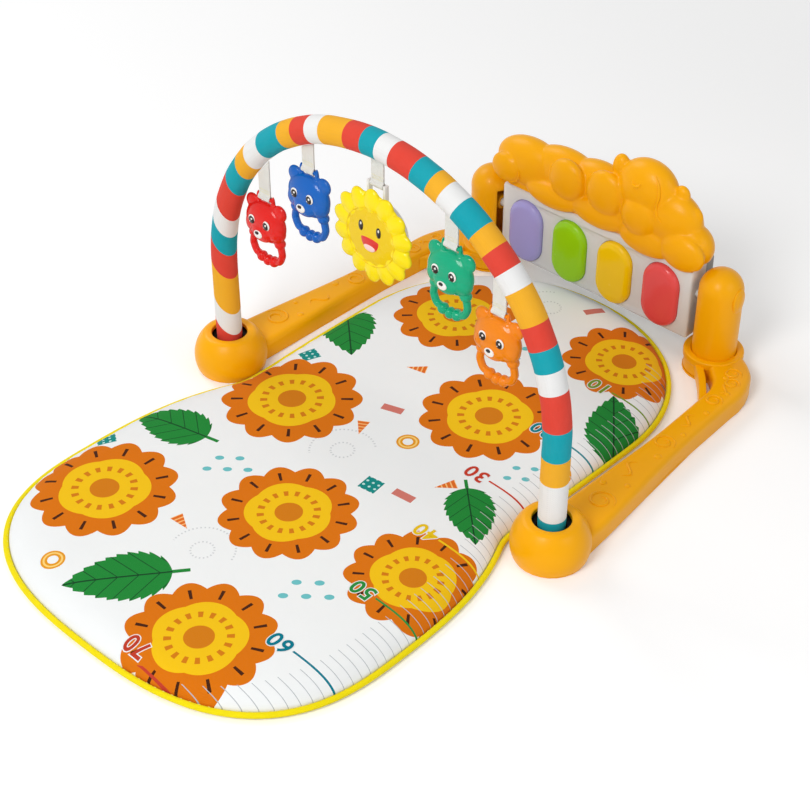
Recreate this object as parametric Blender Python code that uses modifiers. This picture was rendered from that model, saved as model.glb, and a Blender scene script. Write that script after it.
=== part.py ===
"""Baby activity gym: a padded floor mat between two arms, a kick piano on two posts, and a toy arch.

Metres, +Z up. +Y runs from the mat's free end to the piano, and the arch stands over Y = 0.
"""

import math

import bmesh
import bpy
from mathutils import Matrix, Vector

# Clearances
GAP = 0.0003            # between pieces that rest on or beside each other
SWING_GAP = 0.0006      # above a strap's hem, so that it turns freely
WALL = 0.0025           # moulded shells

# Toy arch: two straight legs and a half circle
ARCH_SPAN = 0.456       # between the leg axes
ARCH_LEG = 0.135        # height where the bend starts
ARCH_STEP = 4           # degrees of bend per straight facet
SLEEVE_R = 0.014
ROD_R = 0.006
SPIGOT_R = 0.0035
SPIGOT_LENGTH = 0.013
ROD_SPLIT = 60          # degrees from the floor where a leg rod meets the top rod

# Feet that hold the arch
DOME_R = 0.040
DOME_CENTRE_Z = 0.016
DOME_MOUTH_R = 0.0195
DOME_TOP = 0.045
SOCKET_R = 0.012
SOCKET_TOP = 0.036
SOCKET_FLOOR = 0.003

# Floor arms
BASE_THICK = 0.002
ARM_HEIGHT = 0.024
ARM_LENGTH = 0.361      # from the arch plane to the post axis
ARM_FOOT_HALF = 0.0275  # half width beside the dome
ARM_NECK_HALF = 0.0158  # half width before the elbow
ARM_ELBOW_HALF = 0.0215
ELBOW_OUT = 0.0550      # from the post axis out to the arm's axis
ELBOW_BACK = 0.066      # from the post axis forward to where the bend starts
ARM_SHIFT = 0.005       # arm axis outside the leg axis at the dome

# Posts and their collars
POST_R = 0.0245
POST_TOP = 0.127
COLLAR_R = 0.0333
COLLAR_TOP = 0.025
PIVOT_R = 0.005
PIVOT_Z = 0.085
BEARING_R = 0.009
POST_CLEAR = 0.004      # between the piano's side and the post

# Kick piano
KEY_COUNT = 4
KEY_WIDTH = 0.047
KEY_HEIGHT = 0.078
KEY_PITCH = 0.064
KEY_PROUD = 0.008
KEY_LIP = 0.0017        # flange behind the front wall, at the sides
KEY_END_LIP = 0.0006    # and at the ends
KEY_TRAVEL = 0.004
KEY_CLEAR = 0.0004
CONSOLE_BOTTOM = 0.0305
CONSOLE_SIDE = 0.0145   # from the outer key to the console's side
CONSOLE_MARGIN = 0.0035 # below the keys
CONSOLE_BROW = 0.010    # above the keys
CONSOLE_DEPTH = 0.041
CONSOLE_PARTING = 0.0255
PIVOT_DEPTH = 0.0150    # from the console's front to the pivot axis
EDGE_ROUND = 0.003
BATTERY_R = 0.0071
BATTERY_LENGTH = 0.050
BATTERY_PITCH = 0.015
BATTERY_COUNT = 3
SPEAKER_R = 0.020
SCREW_R = 0.0015
SCREW_HEAD_R = 0.0034
SWITCH_TRAVEL = 0.006

# Mat
MAT_WIDE_HALF = 0.2245  # over the binding, near the free end
MAT_WIDE_Y = -0.2095
MAT_FREE_LENGTH = 0.1848
MAT_FREE_POWER = 2.7    # 2 is an ellipse, more is squarer
MAT_PIANO_HALF = 0.192
MAT_PIANO_Y = 0.180
MAT_PIANO_LENGTH = 0.189
MAT_DOME_CLEAR = 0.0005 # between the binding and a dome's skin
MAT_CROWN = 0.024
BINDING_R = 0.003
BINDING_Z = 0.0042

# Hanging toys
STRAP_WIDTH = 0.016
STRAP_THICK = 0.0016
BAR_R = 0.002
LOOP_WALL = 0.0016
HEAD_RADII = (0.0275, 0.011, 0.023)
HEAD_DROP = 0.028       # from the strap bar to the middle of the head
HEAD_FORWARD = -0.0004  # balances the two shells under the bar
HEAD_PARTING = -0.002   # the parting plane lies in front of the bar
TOY_WALL = 0.002
EAR_R = 0.009
EAR_OUT = 0.019
EAR_DROP = 0.012
RING_R = 0.0038
RING_HALF = 0.021
RING_DROP = 0.074       # from the strap bar to the bottom run of the ring
PETAL_COUNT = 14
PETAL_TIP_R = 0.051
PETAL_ROOT_R = 0.046
PETAL_THICK = 0.0032
FLOWER_FACE_R = 0.029
FLOWER_BACK_R = 0.035
FLOWER_BACK_THICK = 0.0154
FLOWER_DROP = 0.053

# name, degrees round the arch from its top (left is negative), strap length, colour
RATTLES = (
    ("red_rattle", -48, 0.0355, (0.72, 0.03, 0.02)),
    ("blue_rattle", -26, 0.027, (0.01, 0.13, 0.48)),
    ("green_rattle", 26, 0.0325, (0.005, 0.38, 0.19)),
    ("orange_rattle", 46, 0.0355, (0.83, 0.24, 0.01)),
)
FLOWER_STRAP = 0.027
KEY_COLOURS = ((0.27, 0.24, 0.55), (0.26, 0.54, 0.015), (0.74, 0.47, 0.005), (0.63, 0.07, 0.06))

# Worked out from the sizes above
DOME_X = ARCH_SPAN / 2
ARCH_R = ARCH_SPAN / 2
CONSOLE_HALF = (KEY_COUNT - 1) * KEY_PITCH / 2 + KEY_WIDTH / 2 + CONSOLE_SIDE
POST_X = CONSOLE_HALF + POST_CLEAR + POST_R
POST_Y = ARM_LENGTH
FRONT_Y = POST_Y - PIVOT_DEPTH
REAR_Y = FRONT_Y + CONSOLE_DEPTH
PARTING_Y = FRONT_Y + CONSOLE_PARTING
KEY_Z = CONSOLE_BOTTOM + CONSOLE_MARGIN + KEY_HEIGHT / 2
CONSOLE_TOP = KEY_Z + KEY_HEIGHT / 2 + CONSOLE_BROW
BACK_WALL_Y = REAR_Y - WALL
SHELL_BOTTOM = BASE_THICK + GAP
BINDING_AXIS_OUT = math.sqrt((DOME_R + MAT_DOME_CLEAR + BINDING_R) ** 2 - (DOME_CENTRE_Z - BINDING_Z) ** 2)
MAT_WAIST_HALF = DOME_X - BINDING_AXIS_OUT + BINDING_R
MAT_WAIST_Y = DOME_R / 2        # the edge runs straight past a dome, this far each way

GYM = bpy.data.collections.new("activity_gym")
CUTTERS = bpy.data.collections.new("cutters")
FINISHES = {}


# Helpers

def finish(name, colour, roughness, metallic=0.0):
    """A named Principled material, made once."""
    if name not in FINISHES:
        made = bpy.data.materials.new(name)
        made.use_nodes = True
        shader = made.node_tree.nodes["Principled BSDF"]
        shader.inputs["Base Color"].default_value = (*colour, 1)
        shader.inputs["Roughness"].default_value = roughness
        shader.inputs["Metallic"].default_value = metallic
        made.diffuse_color = (*colour, 1)
        FINISHES[name] = made
    return FINISHES[name]


def frame_yellow():
    return finish("frame_yellow", (0.88, 0.40, 0.005), 0.42)


def shell_grey():
    return finish("shell_grey", (0.58, 0.60, 0.60), 0.45)


def webbing():
    return finish("webbing", (0.77, 0.77, 0.73), 0.9)


def steel():
    return finish("screw_steel", (0.62, 0.62, 0.64), 0.3, 1.0)


def mesh_of(bm):
    """A mesh with its faces turned outwards, smooth but for its sharp edges."""
    bmesh.ops.recalc_face_normals(bm, faces=bm.faces)
    mesh = bpy.data.meshes.new("shape")
    bm.to_mesh(mesh)
    bm.free()
    mesh.shade_smooth()
    mesh.set_sharp_from_angle(angle=math.radians(40))
    return mesh


def piece(name, bm, material):
    """One sub-part of the gym."""
    obj = bpy.data.objects.new(name, mesh_of(bm))
    obj.data.materials.append(material)
    GYM.objects.link(obj)
    return obj


def helper(bm, collection=CUTTERS):
    """A shape that only cuts or joins others."""
    obj = bpy.data.objects.new("helper", mesh_of(bm))
    obj.hide_render = True
    obj.display_type = "WIRE"
    collection.objects.link(obj)
    return obj


def combine(obj, other, operation):
    modifier = obj.modifiers.new(operation.title(), "BOOLEAN")
    modifier.operation = operation
    modifier.solver = "EXACT"
    modifier.object = other


def cut(obj, bm):
    combine(obj, helper(bm), "DIFFERENCE")


def fuse(obj, bm):
    combine(obj, helper(bm), "UNION")


def box(low, high):
    bm = bmesh.new()
    bmesh.ops.create_cube(bm, size=1)
    low, high = Vector(low), Vector(high)
    bmesh.ops.scale(bm, vec=high - low, verts=bm.verts)
    bmesh.ops.translate(bm, vec=(low + high) / 2, verts=bm.verts)
    return bm


def cylinder(start, end, radius, sides=20, end_radius=None):
    """A capped cylinder or cone between two points."""
    start, end = Vector(start), Vector(end)
    bm = bmesh.new()
    bmesh.ops.create_cone(
        bm,
        cap_ends=True,
        segments=sides,
        radius1=radius,
        radius2=radius if end_radius is None else end_radius,
        depth=(end - start).length,
    )
    turn = (end - start).to_track_quat("Z", "Y").to_matrix().to_4x4()
    bmesh.ops.transform(bm, matrix=Matrix.Translation((start + end) / 2) @ turn, verts=bm.verts)
    return bm


def ellipsoid(centre, radii, around=16, along=10):
    """An ellipsoid whose poles lie front and back."""
    bm = bmesh.new()
    bmesh.ops.create_uvsphere(bm, u_segments=around, v_segments=along, radius=1)
    bmesh.ops.rotate(bm, matrix=Matrix.Rotation(math.pi / 2, 3, "X"), verts=bm.verts)
    bmesh.ops.scale(bm, vec=Vector(radii), verts=bm.verts)
    bmesh.ops.translate(bm, vec=Vector(centre), verts=bm.verts)
    return bm


def loft(rings):
    """A closed body through rings of points that match one to one."""
    bm = bmesh.new()
    loops = [[bm.verts.new(point) for point in ring] for ring in rings]
    for lower, upper in zip(loops, loops[1:]):
        for i in range(len(lower)):
            j = (i + 1) % len(lower)
            bm.faces.new((lower[i], lower[j], upper[j], upper[i]))
    bm.faces.new(loops[0])
    bm.faces.new(loops[-1])
    return bm


def tube(points, radius, resolution, swell=None, closed=False):
    """A round tube along points. Swell scales its radius at each of them."""
    curve = bpy.data.curves.new("tube", "CURVE")
    curve.dimensions = "3D"
    curve.bevel_depth = radius
    curve.bevel_resolution = resolution
    curve.use_fill_caps = not closed
    spline = curve.splines.new("POLY")
    spline.points.add(len(points) - 1)
    for i, point in enumerate(points):
        spline.points[i].co = (*point, 1)
        spline.points[i].radius = swell[i] if swell else 1
    spline.use_cyclic_u = closed
    guide = bpy.data.objects.new("tube", curve)
    bpy.context.scene.collection.objects.link(guide)
    graph = bpy.context.evaluated_depsgraph_get()
    mesh = bpy.data.meshes.new_from_object(guide.evaluated_get(graph))
    bm = bmesh.new()
    bm.from_mesh(mesh)
    bmesh.ops.remove_doubles(bm, verts=bm.verts, dist=1e-6)
    bpy.data.objects.remove(guide)
    bpy.data.curves.remove(curve)
    bpy.data.meshes.remove(mesh)
    return bm


def turned(name, profile, steps, material, location, closed=False):
    """A profile of (radius, height) points turned about Z. It runs down the outer side."""
    bm = bmesh.new()
    verts = [bm.verts.new((radius, 0, height)) for radius, height in profile]
    for start, end in zip(verts, verts[1:]):
        bm.edges.new((start, end))
    if closed:
        bm.edges.new((verts[-1], verts[0]))
    mesh = bpy.data.meshes.new(name)
    bm.to_mesh(mesh)
    bm.free()
    obj = bpy.data.objects.new(name, mesh)
    obj.location = location
    screw = obj.modifiers.new("Turn", "SCREW")
    screw.steps = steps
    screw.render_steps = steps
    screw.use_merge_vertices = True
    screw.merge_threshold = 1e-5
    screw.use_smooth_shade = True
    mesh.materials.append(material)
    GYM.objects.link(obj)
    return obj


def arc(centre, radius, start, end, steps):
    """(radius, height) points on a circle, angles in degrees from the horizontal."""
    points = []
    for i in range(steps + 1):
        angle = math.radians(start + (end - start) * i / steps)
        points.append((centre[0] + radius * math.cos(angle), centre[1] + radius * math.sin(angle)))
    return points


def pivot(name, location, members, parent=None):
    """An empty on a joint's axis that carries the pieces that move about it."""
    empty = bpy.data.objects.new(name, None)
    empty.empty_display_size = 0.02
    GYM.objects.link(empty)
    empty.parent = parent
    empty.matrix_world = Matrix.Translation(location)
    bpy.context.view_layer.update()
    for member in members:
        member.parent = empty
        member.matrix_parent_inverse = empty.matrix_world.inverted()
    return empty


# Mat

def mat_outline(inset, end_steps=9, side_steps=6):
    """The mat's outline at floor level, moved inwards by inset, anticlockwise from the piano end."""
    def end_curve(half, reach, power):
        for i in range(end_steps):
            angle = math.pi / 2 * (1 - i / end_steps)
            yield half * math.cos(angle) ** (2 / power), reach * math.sin(angle) ** (2 / power)

    right = [Vector((x, MAT_PIANO_Y + y)) for x, y in end_curve(MAT_PIANO_HALF, MAT_PIANO_LENGTH, 2.1)]
    for i in range(side_steps + 1):
        share = 1 - i / side_steps
        half = MAT_WAIST_HALF + (MAT_PIANO_HALF - MAT_WAIST_HALF) * (1 - (1 - share) ** 3)
        right.append(Vector((half, MAT_WAIST_Y + (MAT_PIANO_Y - MAT_WAIST_Y) * share)))
    for i in range(side_steps + 1):
        share = 1 - i / side_steps
        half = MAT_WIDE_HALF - (MAT_WIDE_HALF - MAT_WAIST_HALF) * share ** 2.8
        right.append(Vector((half, MAT_WIDE_Y - (MAT_WIDE_Y + MAT_WAIST_Y) * share)))
    free = [(x, y) for x, y in end_curve(MAT_WIDE_HALF, MAT_FREE_LENGTH, MAT_FREE_POWER)]
    right += [Vector((x, MAT_WIDE_Y - y)) for x, y in reversed(free)]
    left = [Vector((-point.x, point.y)) for point in right[-2:0:-1]]
    loop = right + left
    moved = []
    for i, point in enumerate(loop):
        along = (loop[(i + 1) % len(loop)] - loop[i - 1]).normalized()
        moved.append(point + inset * Vector((along.y, -along.x)))
    return moved


def build_mat():
    pad_edge = 2 * BINDING_R + GAP
    # (inset from the pad's edge, height): drawn in at the floor, rolled over, then nearly flat
    section = (
        (0.002, 0.0),
        (0.0, 0.0025),
        (0.0, 0.0065),
        (0.003, 0.0115),
        (0.010, 0.0165),
        (0.022, 0.0205),
        (0.045, 0.0230),
        (0.085, MAT_CROWN),
    )
    rings = []
    for inset, height in section:
        rings.append([(p.x, p.y, height) for p in mat_outline(pad_edge + inset)])
    pad = piece("mat_pad", loft(rings), finish("mat_fabric", (0.87, 0.88, 0.87), 0.85))
    edge = [(p.x, p.y, BINDING_Z) for p in mat_outline(BINDING_R)]
    binding = tube(edge, BINDING_R, 1, closed=True)
    return [pad, piece("mat_binding", binding, finish("binding_yellow", (0.91, 0.75, 0.005), 0.8))]


# Floor arms, feet and posts

def arm_stations(side, steps=7):
    """Centre, sideways direction and half width along one arm, from the dome to the post."""
    foot = Vector((DOME_X + ARM_SHIFT, 0))
    neck = Vector((POST_X + ELBOW_OUT, POST_Y - ELBOW_BACK))
    end = Vector((POST_X, POST_Y))
    bend = neck + (neck - foot).normalized() * ELBOW_BACK * 0.8
    centres = [foot.lerp(neck, i / 4) for i in range(4)]
    halves = [ARM_FOOT_HALF + (ARM_NECK_HALF - ARM_FOOT_HALF) * min(1, i / 3) for i in range(4)]
    for i in range(steps + 1):
        t = i / steps
        centres.append((1 - t) ** 2 * neck + 2 * t * (1 - t) * bend + t * t * end)
        halves.append(ARM_NECK_HALF + (ARM_ELBOW_HALF - ARM_NECK_HALF) * min(1, 2 * t))
    stations = []
    for i, centre in enumerate(centres):
        along = (centres[min(i + 1, len(centres) - 1)] - centres[max(i - 1, 0)]).normalized()
        across = Vector((along.y, -along.x))
        stations.append((centre, across, halves[i]))
    return [(Vector((side * c.x, c.y)), Vector((side * a.x, a.y)), half) for c, a, half in stations]


def arm_ring(stations, inset, height):
    outer = [centre + across * (half - inset) for centre, across, half in stations]
    inner = [centre - across * (half - inset) for centre, across, half in stations]
    return [(p.x, p.y, height) for p in outer + inner[::-1]]


def build_arm(side, word):
    yellow = frame_yellow()
    stations = arm_stations(side)
    section = ((0, SHELL_BOTTOM), (0, 0.7 * ARM_HEIGHT), (0.0015, 0.88 * ARM_HEIGHT), (0.006, ARM_HEIGHT))
    shell = piece(word + "_arm_shell", loft([arm_ring(stations, i, z) for i, z in section]), yellow)
    post = Vector((side * POST_X, POST_Y, 0))
    dome = Vector((side * DOME_X, 0, DOME_CENTRE_Z))
    up = Vector((0, 0, 1))
    fuse(shell, cylinder(post + up * SHELL_BOTTOM, post + up * COLLAR_TOP, COLLAR_R, 28))
    cup_floor = SHELL_BOTTOM + WALL
    hollow = [s for s in stations if (s[0] - post.xy).length > COLLAR_R + WALL and s[0].y > DOME_R]
    lid = ARM_HEIGHT - WALL
    cut(shell, loft([arm_ring(hollow, 2 * WALL, 0), arm_ring(hollow, 2 * WALL, lid)]))
    cut(shell, cylinder(post + up * cup_floor, post + up * 2 * COLLAR_TOP, POST_R + GAP, 28))
    cut(shell, ellipsoid(dome, [DOME_R + 2 * GAP] * 3, 24, 16))

    plate = piece(word + "_arm_base", loft([arm_ring(stations, GAP, z) for z in (0, BASE_THICK)]), yellow)
    for centre, radius in ((dome.xy, DOME_R - 0.0035), (post.xy, COLLAR_R - GAP)):
        floor = Vector((*centre, 0))
        fuse(plate, cylinder(floor, floor + up * BASE_THICK, radius, 28))
    return [shell, plate]


def build_foot(side, word):
    lowest = math.degrees(math.asin((SHELL_BOTTOM - DOME_CENTRE_Z) / DOME_R))
    inner_r = DOME_R - 0.003
    inner_lowest = math.degrees(math.asin((SHELL_BOTTOM - DOME_CENTRE_Z) / inner_r))
    lip = DOME_TOP - 0.0045
    profile = [(DOME_MOUTH_R, lip), (DOME_MOUTH_R, DOME_TOP - 0.001), (DOME_MOUTH_R + 0.0015, DOME_TOP)]
    profile += [(DOME_MOUTH_R + 0.005, DOME_TOP)]
    profile += arc((0, DOME_CENTRE_Z), DOME_R, 44, lowest, 6)
    profile += arc((0, DOME_CENTRE_Z), inner_r, inner_lowest, 38, 4)
    dome = turned(word + "_foot_dome", profile, 24, frame_yellow(), (side * DOME_X, 0, 0), closed=True)
    floor = SHELL_BOTTOM + SOCKET_FLOOR
    bore = ROD_R + 1.5 * GAP
    flange = SOCKET_R + 0.005
    tube_profile = (
        (0, floor),
        (bore, floor),
        (bore, SOCKET_TOP),
        (SOCKET_R, SOCKET_TOP),
        (SOCKET_R, floor + 0.003),
        (flange, floor),
        (flange, SHELL_BOTTOM),
        (0, SHELL_BOTTOM),
    )
    socket = turned(word + "_arch_socket", tube_profile, 20, frame_yellow(), (side * DOME_X, 0, 0))
    return [dome, socket]


def build_post(side, word):
    """A hollow post, open towards the piano, with the bearing that the piano turns in."""
    bottom = SHELL_BOTTOM + WALL + GAP
    inner = POST_R - 0.003
    shoulder = POST_TOP - POST_R
    profile = [(0, POST_TOP)] + arc((0, shoulder), POST_R, 90, 0, 5)[1:]
    profile += [(POST_R, bottom), (inner, bottom)]
    profile += arc((0, shoulder), inner, 0, 90, 4)[:-1] + [(0, POST_TOP - 0.003)]
    post = turned(word + "_post", profile, 20, frame_yellow(), (side * POST_X, POST_Y, 0))
    window_half = 0.6 * POST_R
    window = (
        (side * (POST_X - 0.5 * POST_R), POST_Y - window_half, COLLAR_TOP + 0.008),
        (side * (POST_X - 1.3 * POST_R), POST_Y + window_half, shoulder + 0.004),
    )
    low = [min(a, b) for a, b in zip(*window)]
    high = [max(a, b) for a, b in zip(*window)]
    cut(post, box(low, high))
    wall_reach = math.sqrt(inner ** 2 - BEARING_R ** 2) - 2 * GAP
    axis = Vector((0, POST_Y, PIVOT_Z))
    outer_end = axis + Vector((side * (POST_X + wall_reach), 0, 0))
    mouth = axis + Vector((side * (POST_X - 0.7 * POST_R), 0, 0))
    bearing = piece(word + "_pivot_bearing", cylinder(outer_end, mouth, BEARING_R), frame_yellow())
    past = mouth - Vector((side * 0.01, 0, 0))
    cut(bearing, cylinder(axis + Vector((side * (POST_X + 0.005), 0, 0)), past, PIVOT_R + GAP, 20))
    return [post, bearing]


# Kick piano

def key_places():
    """Each key's middle, from the left."""
    return [((i - (KEY_COUNT - 1) / 2) * KEY_PITCH, KEY_Z) for i in range(KEY_COUNT)]


def stadium(x, y, z, width, height, steps=5):
    """Points on an upright round-ended outline."""
    radius = width / 2
    straight = (height - width) / 2
    points = []
    for end, sign in ((0, 1), (math.pi, -1)):
        for i in range(steps + 1):
            angle = end + math.pi * i / steps
            points.append((x + radius * math.cos(angle), y, z + sign * straight + radius * math.sin(angle)))
    return points


def build_key(index, x, z):
    """A domed key, its flange behind the front wall, and the stem that presses the membrane."""
    name = f"key_{index + 1}"
    inside = FRONT_Y + WALL + GAP
    flange_w, flange_h = KEY_WIDTH + 2 * KEY_LIP, KEY_HEIGHT + 2 * KEY_END_LIP
    # (y, width, height), from the flange's back to the front of the dome
    section = (
        (inside + 0.0025, flange_w, flange_h),
        (inside, flange_w, flange_h),
        (inside, KEY_WIDTH, KEY_HEIGHT),
        (FRONT_Y - 0.45 * KEY_PROUD, KEY_WIDTH, KEY_HEIGHT),
        (FRONT_Y - 0.8 * KEY_PROUD, KEY_WIDTH - 0.004, KEY_HEIGHT - 0.004),
        (FRONT_Y - KEY_PROUD, KEY_WIDTH - 0.014, KEY_HEIGHT - 0.014),
    )
    rings = [stadium(x, y, z, width, height) for y, width, height in section]
    key = piece(name, loft(rings), finish(name, KEY_COLOURS[index % len(KEY_COLOURS)], 0.25))
    hollow = (KEY_WIDTH - 2 * WALL, KEY_HEIGHT - 2 * WALL)
    ceiling = FRONT_Y - 0.35 * KEY_PROUD
    cut(key, loft([stadium(x, y, z, *hollow) for y in (inside + 0.004, ceiling)]))
    fuse(key, cylinder((x, ceiling - 0.001, z), (x, inside + 0.009, z), 0.006, 12))
    return key


def tray(y_closed, y_open, depth_side):
    """The outside of half a case: a box with its rim rounded at the closed end, open at the other."""
    low = (-CONSOLE_HALF, min(y_closed, y_open), CONSOLE_BOTTOM)
    high = (CONSOLE_HALF, max(y_closed, y_open), CONSOLE_TOP)
    bm = box(low, high)
    bm.faces.ensure_lookup_table()
    doomed = [f for f in bm.faces if f.normal.y * depth_side > 0.5]
    bmesh.ops.delete(bm, geom=doomed, context="FACES_ONLY")
    edges = [e for e in bm.edges if len(e.link_faces) == 2]
    bmesh.ops.bevel(bm, geom=edges, offset=EDGE_ROUND, segments=2, profile=0.5, affect="EDGES", material=-1)
    return bm


def case_half(name, y_closed, y_open, depth_side, material):
    half = piece(name, tray(y_closed, y_open, depth_side), material)
    solidify = half.modifiers.new("Wall", "SOLIDIFY")
    solidify.thickness = WALL
    solidify.offset = -1
    solidify.use_even_offset = True
    return half


def boss_places():
    """The two case screws, between the middle keys, above and below the circuit board."""
    return [(0, CONSOLE_BOTTOM + 0.012), (0, CONSOLE_TOP - 0.014)]


def screw(name, x, y_head, z, length):
    """A pan head screw driven in from behind."""
    made = piece(name, cylinder((x, y_head, z), (x, y_head + 0.0018, z), SCREW_HEAD_R, 14), steel())
    fuse(made, cylinder((x, y_head + 0.001, z), (x, y_head - length, z), SCREW_R, 10))
    return made


def build_case():
    front = case_half("console_front", FRONT_Y, PARTING_Y, 1, shell_grey())
    rear_finish = finish("rear_grey", (0.30, 0.32, 0.32), 0.5)
    rear = case_half("console_rear", REAR_Y, PARTING_Y + GAP, -1, rear_finish)
    for x, z in boss_places():
        fuse(front, cylinder((x, FRONT_Y + 0.5 * WALL, z), (x, BACK_WALL_Y - GAP, z), 0.004, 14))
        cut(front, cylinder((x, FRONT_Y + 0.012, z), (x, REAR_Y, z), SCREW_R + GAP, 10))
        cut(rear, cylinder((x, BACK_WALL_Y - 0.001, z), (x, REAR_Y + 0.001, z), SCREW_R + GAP, 10))
    for x, z in key_places():
        window = (KEY_WIDTH + 2 * KEY_CLEAR, KEY_HEIGHT + 2 * KEY_CLEAR)
        cut(front, loft([stadium(x, y, z, *window) for y in (FRONT_Y - 0.002, FRONT_Y + 2 * WALL)]))
    bore_ends = [(share * CONSOLE_HALF, POST_Y, PIVOT_Z) for share in (-1.2, 1.2)]
    cut(front, cylinder(*bore_ends, PIVOT_R + GAP, 20))
    return front, rear


def build_pins():
    pins = []
    for side, word in ((-1, "left"), (1, "right")):
        seat = Vector((side * (CONSOLE_HALF - WALL - GAP), POST_Y, PIVOT_Z))
        head = seat - Vector((side * WALL, 0, 0))
        tip = Vector((side * (POST_X + 0.004), POST_Y, PIVOT_Z))
        pin = piece(word + "_pivot_pin", cylinder(head, seat, BEARING_R, 18), shell_grey())
        fuse(pin, cylinder(head + Vector((side * 0.001, 0, 0)), tip, PIVOT_R, 18))
        pins.append(pin)
    return pins


def build_electronics(rear):
    """Membrane, circuit board, speaker, batteries with their door, and the power switch."""
    stem_end = FRONT_Y + WALL + GAP + 0.009
    dome_y = stem_end + KEY_TRAVEL + GAP
    sheet_y = dome_y + 0.0016
    reach = key_places()[-1][0] + KEY_WIDTH / 2 - 0.004
    sheet = box((-reach, sheet_y, KEY_Z - 0.020), (reach, sheet_y + 0.002, KEY_Z + 0.020))
    membrane = piece("key_membrane", sheet, finish("membrane_rubber", (0.55, 0.55, 0.53), 0.8))
    for x, z in key_places():
        fuse(membrane, cylinder((x, sheet_y + 0.001, z), (x, dome_y, z), 0.007, 14, 0.0045))
    board_y = sheet_y + 0.002 + GAP
    board_half = (min(reach, 0.1), 0.024)
    low = (-board_half[0], board_y, KEY_Z - board_half[1])
    high = (board_half[0], board_y + 0.0016, KEY_Z + board_half[1])
    board = piece("circuit_board", box(low, high), finish("board_green", (0.02, 0.22, 0.09), 0.5))
    for x in (-board_half[0] + 0.005, board_half[0] - 0.005):
        for z in (KEY_Z - board_half[1] + 0.005, KEY_Z + board_half[1] - 0.005):
            fuse(rear, cylinder((x, high[1] + GAP, z), (x, BACK_WALL_Y + 0.001, z), 0.004, 12))

    pieces = [membrane, board]
    black = finish("speaker_black", (0.02, 0.02, 0.02), 0.6)
    speaker_x = 0.6 * board_half[0]
    seat = BACK_WALL_Y - GAP
    rim, shoulder, tip = [(speaker_x, seat - depth, KEY_Z) for depth in (0, 0.005, 0.011)]
    speaker = piece("speaker", cylinder(rim, shoulder, SPEAKER_R, 24), black)
    inside = (speaker_x, seat - 0.004, KEY_Z)
    fuse(speaker, cylinder(inside, tip, 0.55 * SPEAKER_R, 18))
    pieces.append(speaker)
    for i in range(5):
        z = KEY_Z + (i - 2) * 0.006
        slot_start = (speaker_x - 0.012, BACK_WALL_Y - 0.001, z - 0.0012)
        slot_end = (speaker_x + 0.012, REAR_Y + 0.001, z + 0.0012)
        cut(rear, box(slot_start, slot_end))

    pack_x = -0.6 * board_half[0]
    cell_y = BACK_WALL_Y - GAP - BATTERY_R
    for i in range(BATTERY_COUNT):
        z = KEY_Z - 0.004 + (i - (BATTERY_COUNT - 1) / 2) * BATTERY_PITCH
        ends = [(pack_x + share * BATTERY_LENGTH, cell_y, z) for share in (-0.5, 0.5)]
        wrap = finish("cell_wrap", (0.12, 0.12, 0.13), 0.4)
        pieces.append(piece(f"battery_{i + 1}", cylinder(*ends, BATTERY_R, 16), wrap))
    half_x = BATTERY_LENGTH / 2 + 0.004
    below = KEY_Z - 0.004 - BATTERY_COUNT * BATTERY_PITCH / 2 - 0.002
    above = KEY_Z - 0.004 + BATTERY_COUNT * BATTERY_PITCH / 2 + 0.011
    cut(rear, box((pack_x - half_x, BACK_WALL_Y - 0.001, below), (pack_x + half_x, REAR_Y + 0.001, above)))
    edge = 0.0004
    leaf_low = (pack_x - half_x + edge, BACK_WALL_Y, below + edge)
    leaf_high = (pack_x + half_x - edge, REAR_Y, above - edge)
    door = piece("battery_door", box(leaf_low, leaf_high), finish("rear_grey", (0.30, 0.32, 0.32), 0.5))
    screw_z = above - 0.0055
    hole = [(pack_x, y, screw_z) for y in (BACK_WALL_Y - 0.001, REAR_Y + 0.001)]
    cut(door, cylinder(*hole, SCREW_R + GAP, 10))
    pieces += [door, screw("battery_door_screw", pack_x, REAR_Y + GAP, screw_z, 0.008)]

    knob = Vector((0.016, 0, KEY_Z + 0.018))
    half = 0.003
    slot_low = (knob.x - half - KEY_CLEAR, BACK_WALL_Y - 0.001, knob.z - half - KEY_CLEAR)
    slot_high = (knob.x + half + SWITCH_TRAVEL + KEY_CLEAR, REAR_Y + 0.001, knob.z + half + KEY_CLEAR)
    cut(rear, box(slot_low, slot_high))
    plate_low = (knob.x - half - SWITCH_TRAVEL - 0.002, seat - 0.0015, knob.z - 0.006)
    plate_high = (knob.x + half + SWITCH_TRAVEL + 0.002, seat, knob.z + 0.006)
    switch = piece("power_switch", box(plate_low, plate_high), black)
    knob_low = (knob.x - half, seat - 0.001, knob.z - half)
    fuse(switch, box(knob_low, (knob.x + half, REAR_Y + 0.002, knob.z + half)))
    return pieces, switch


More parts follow.
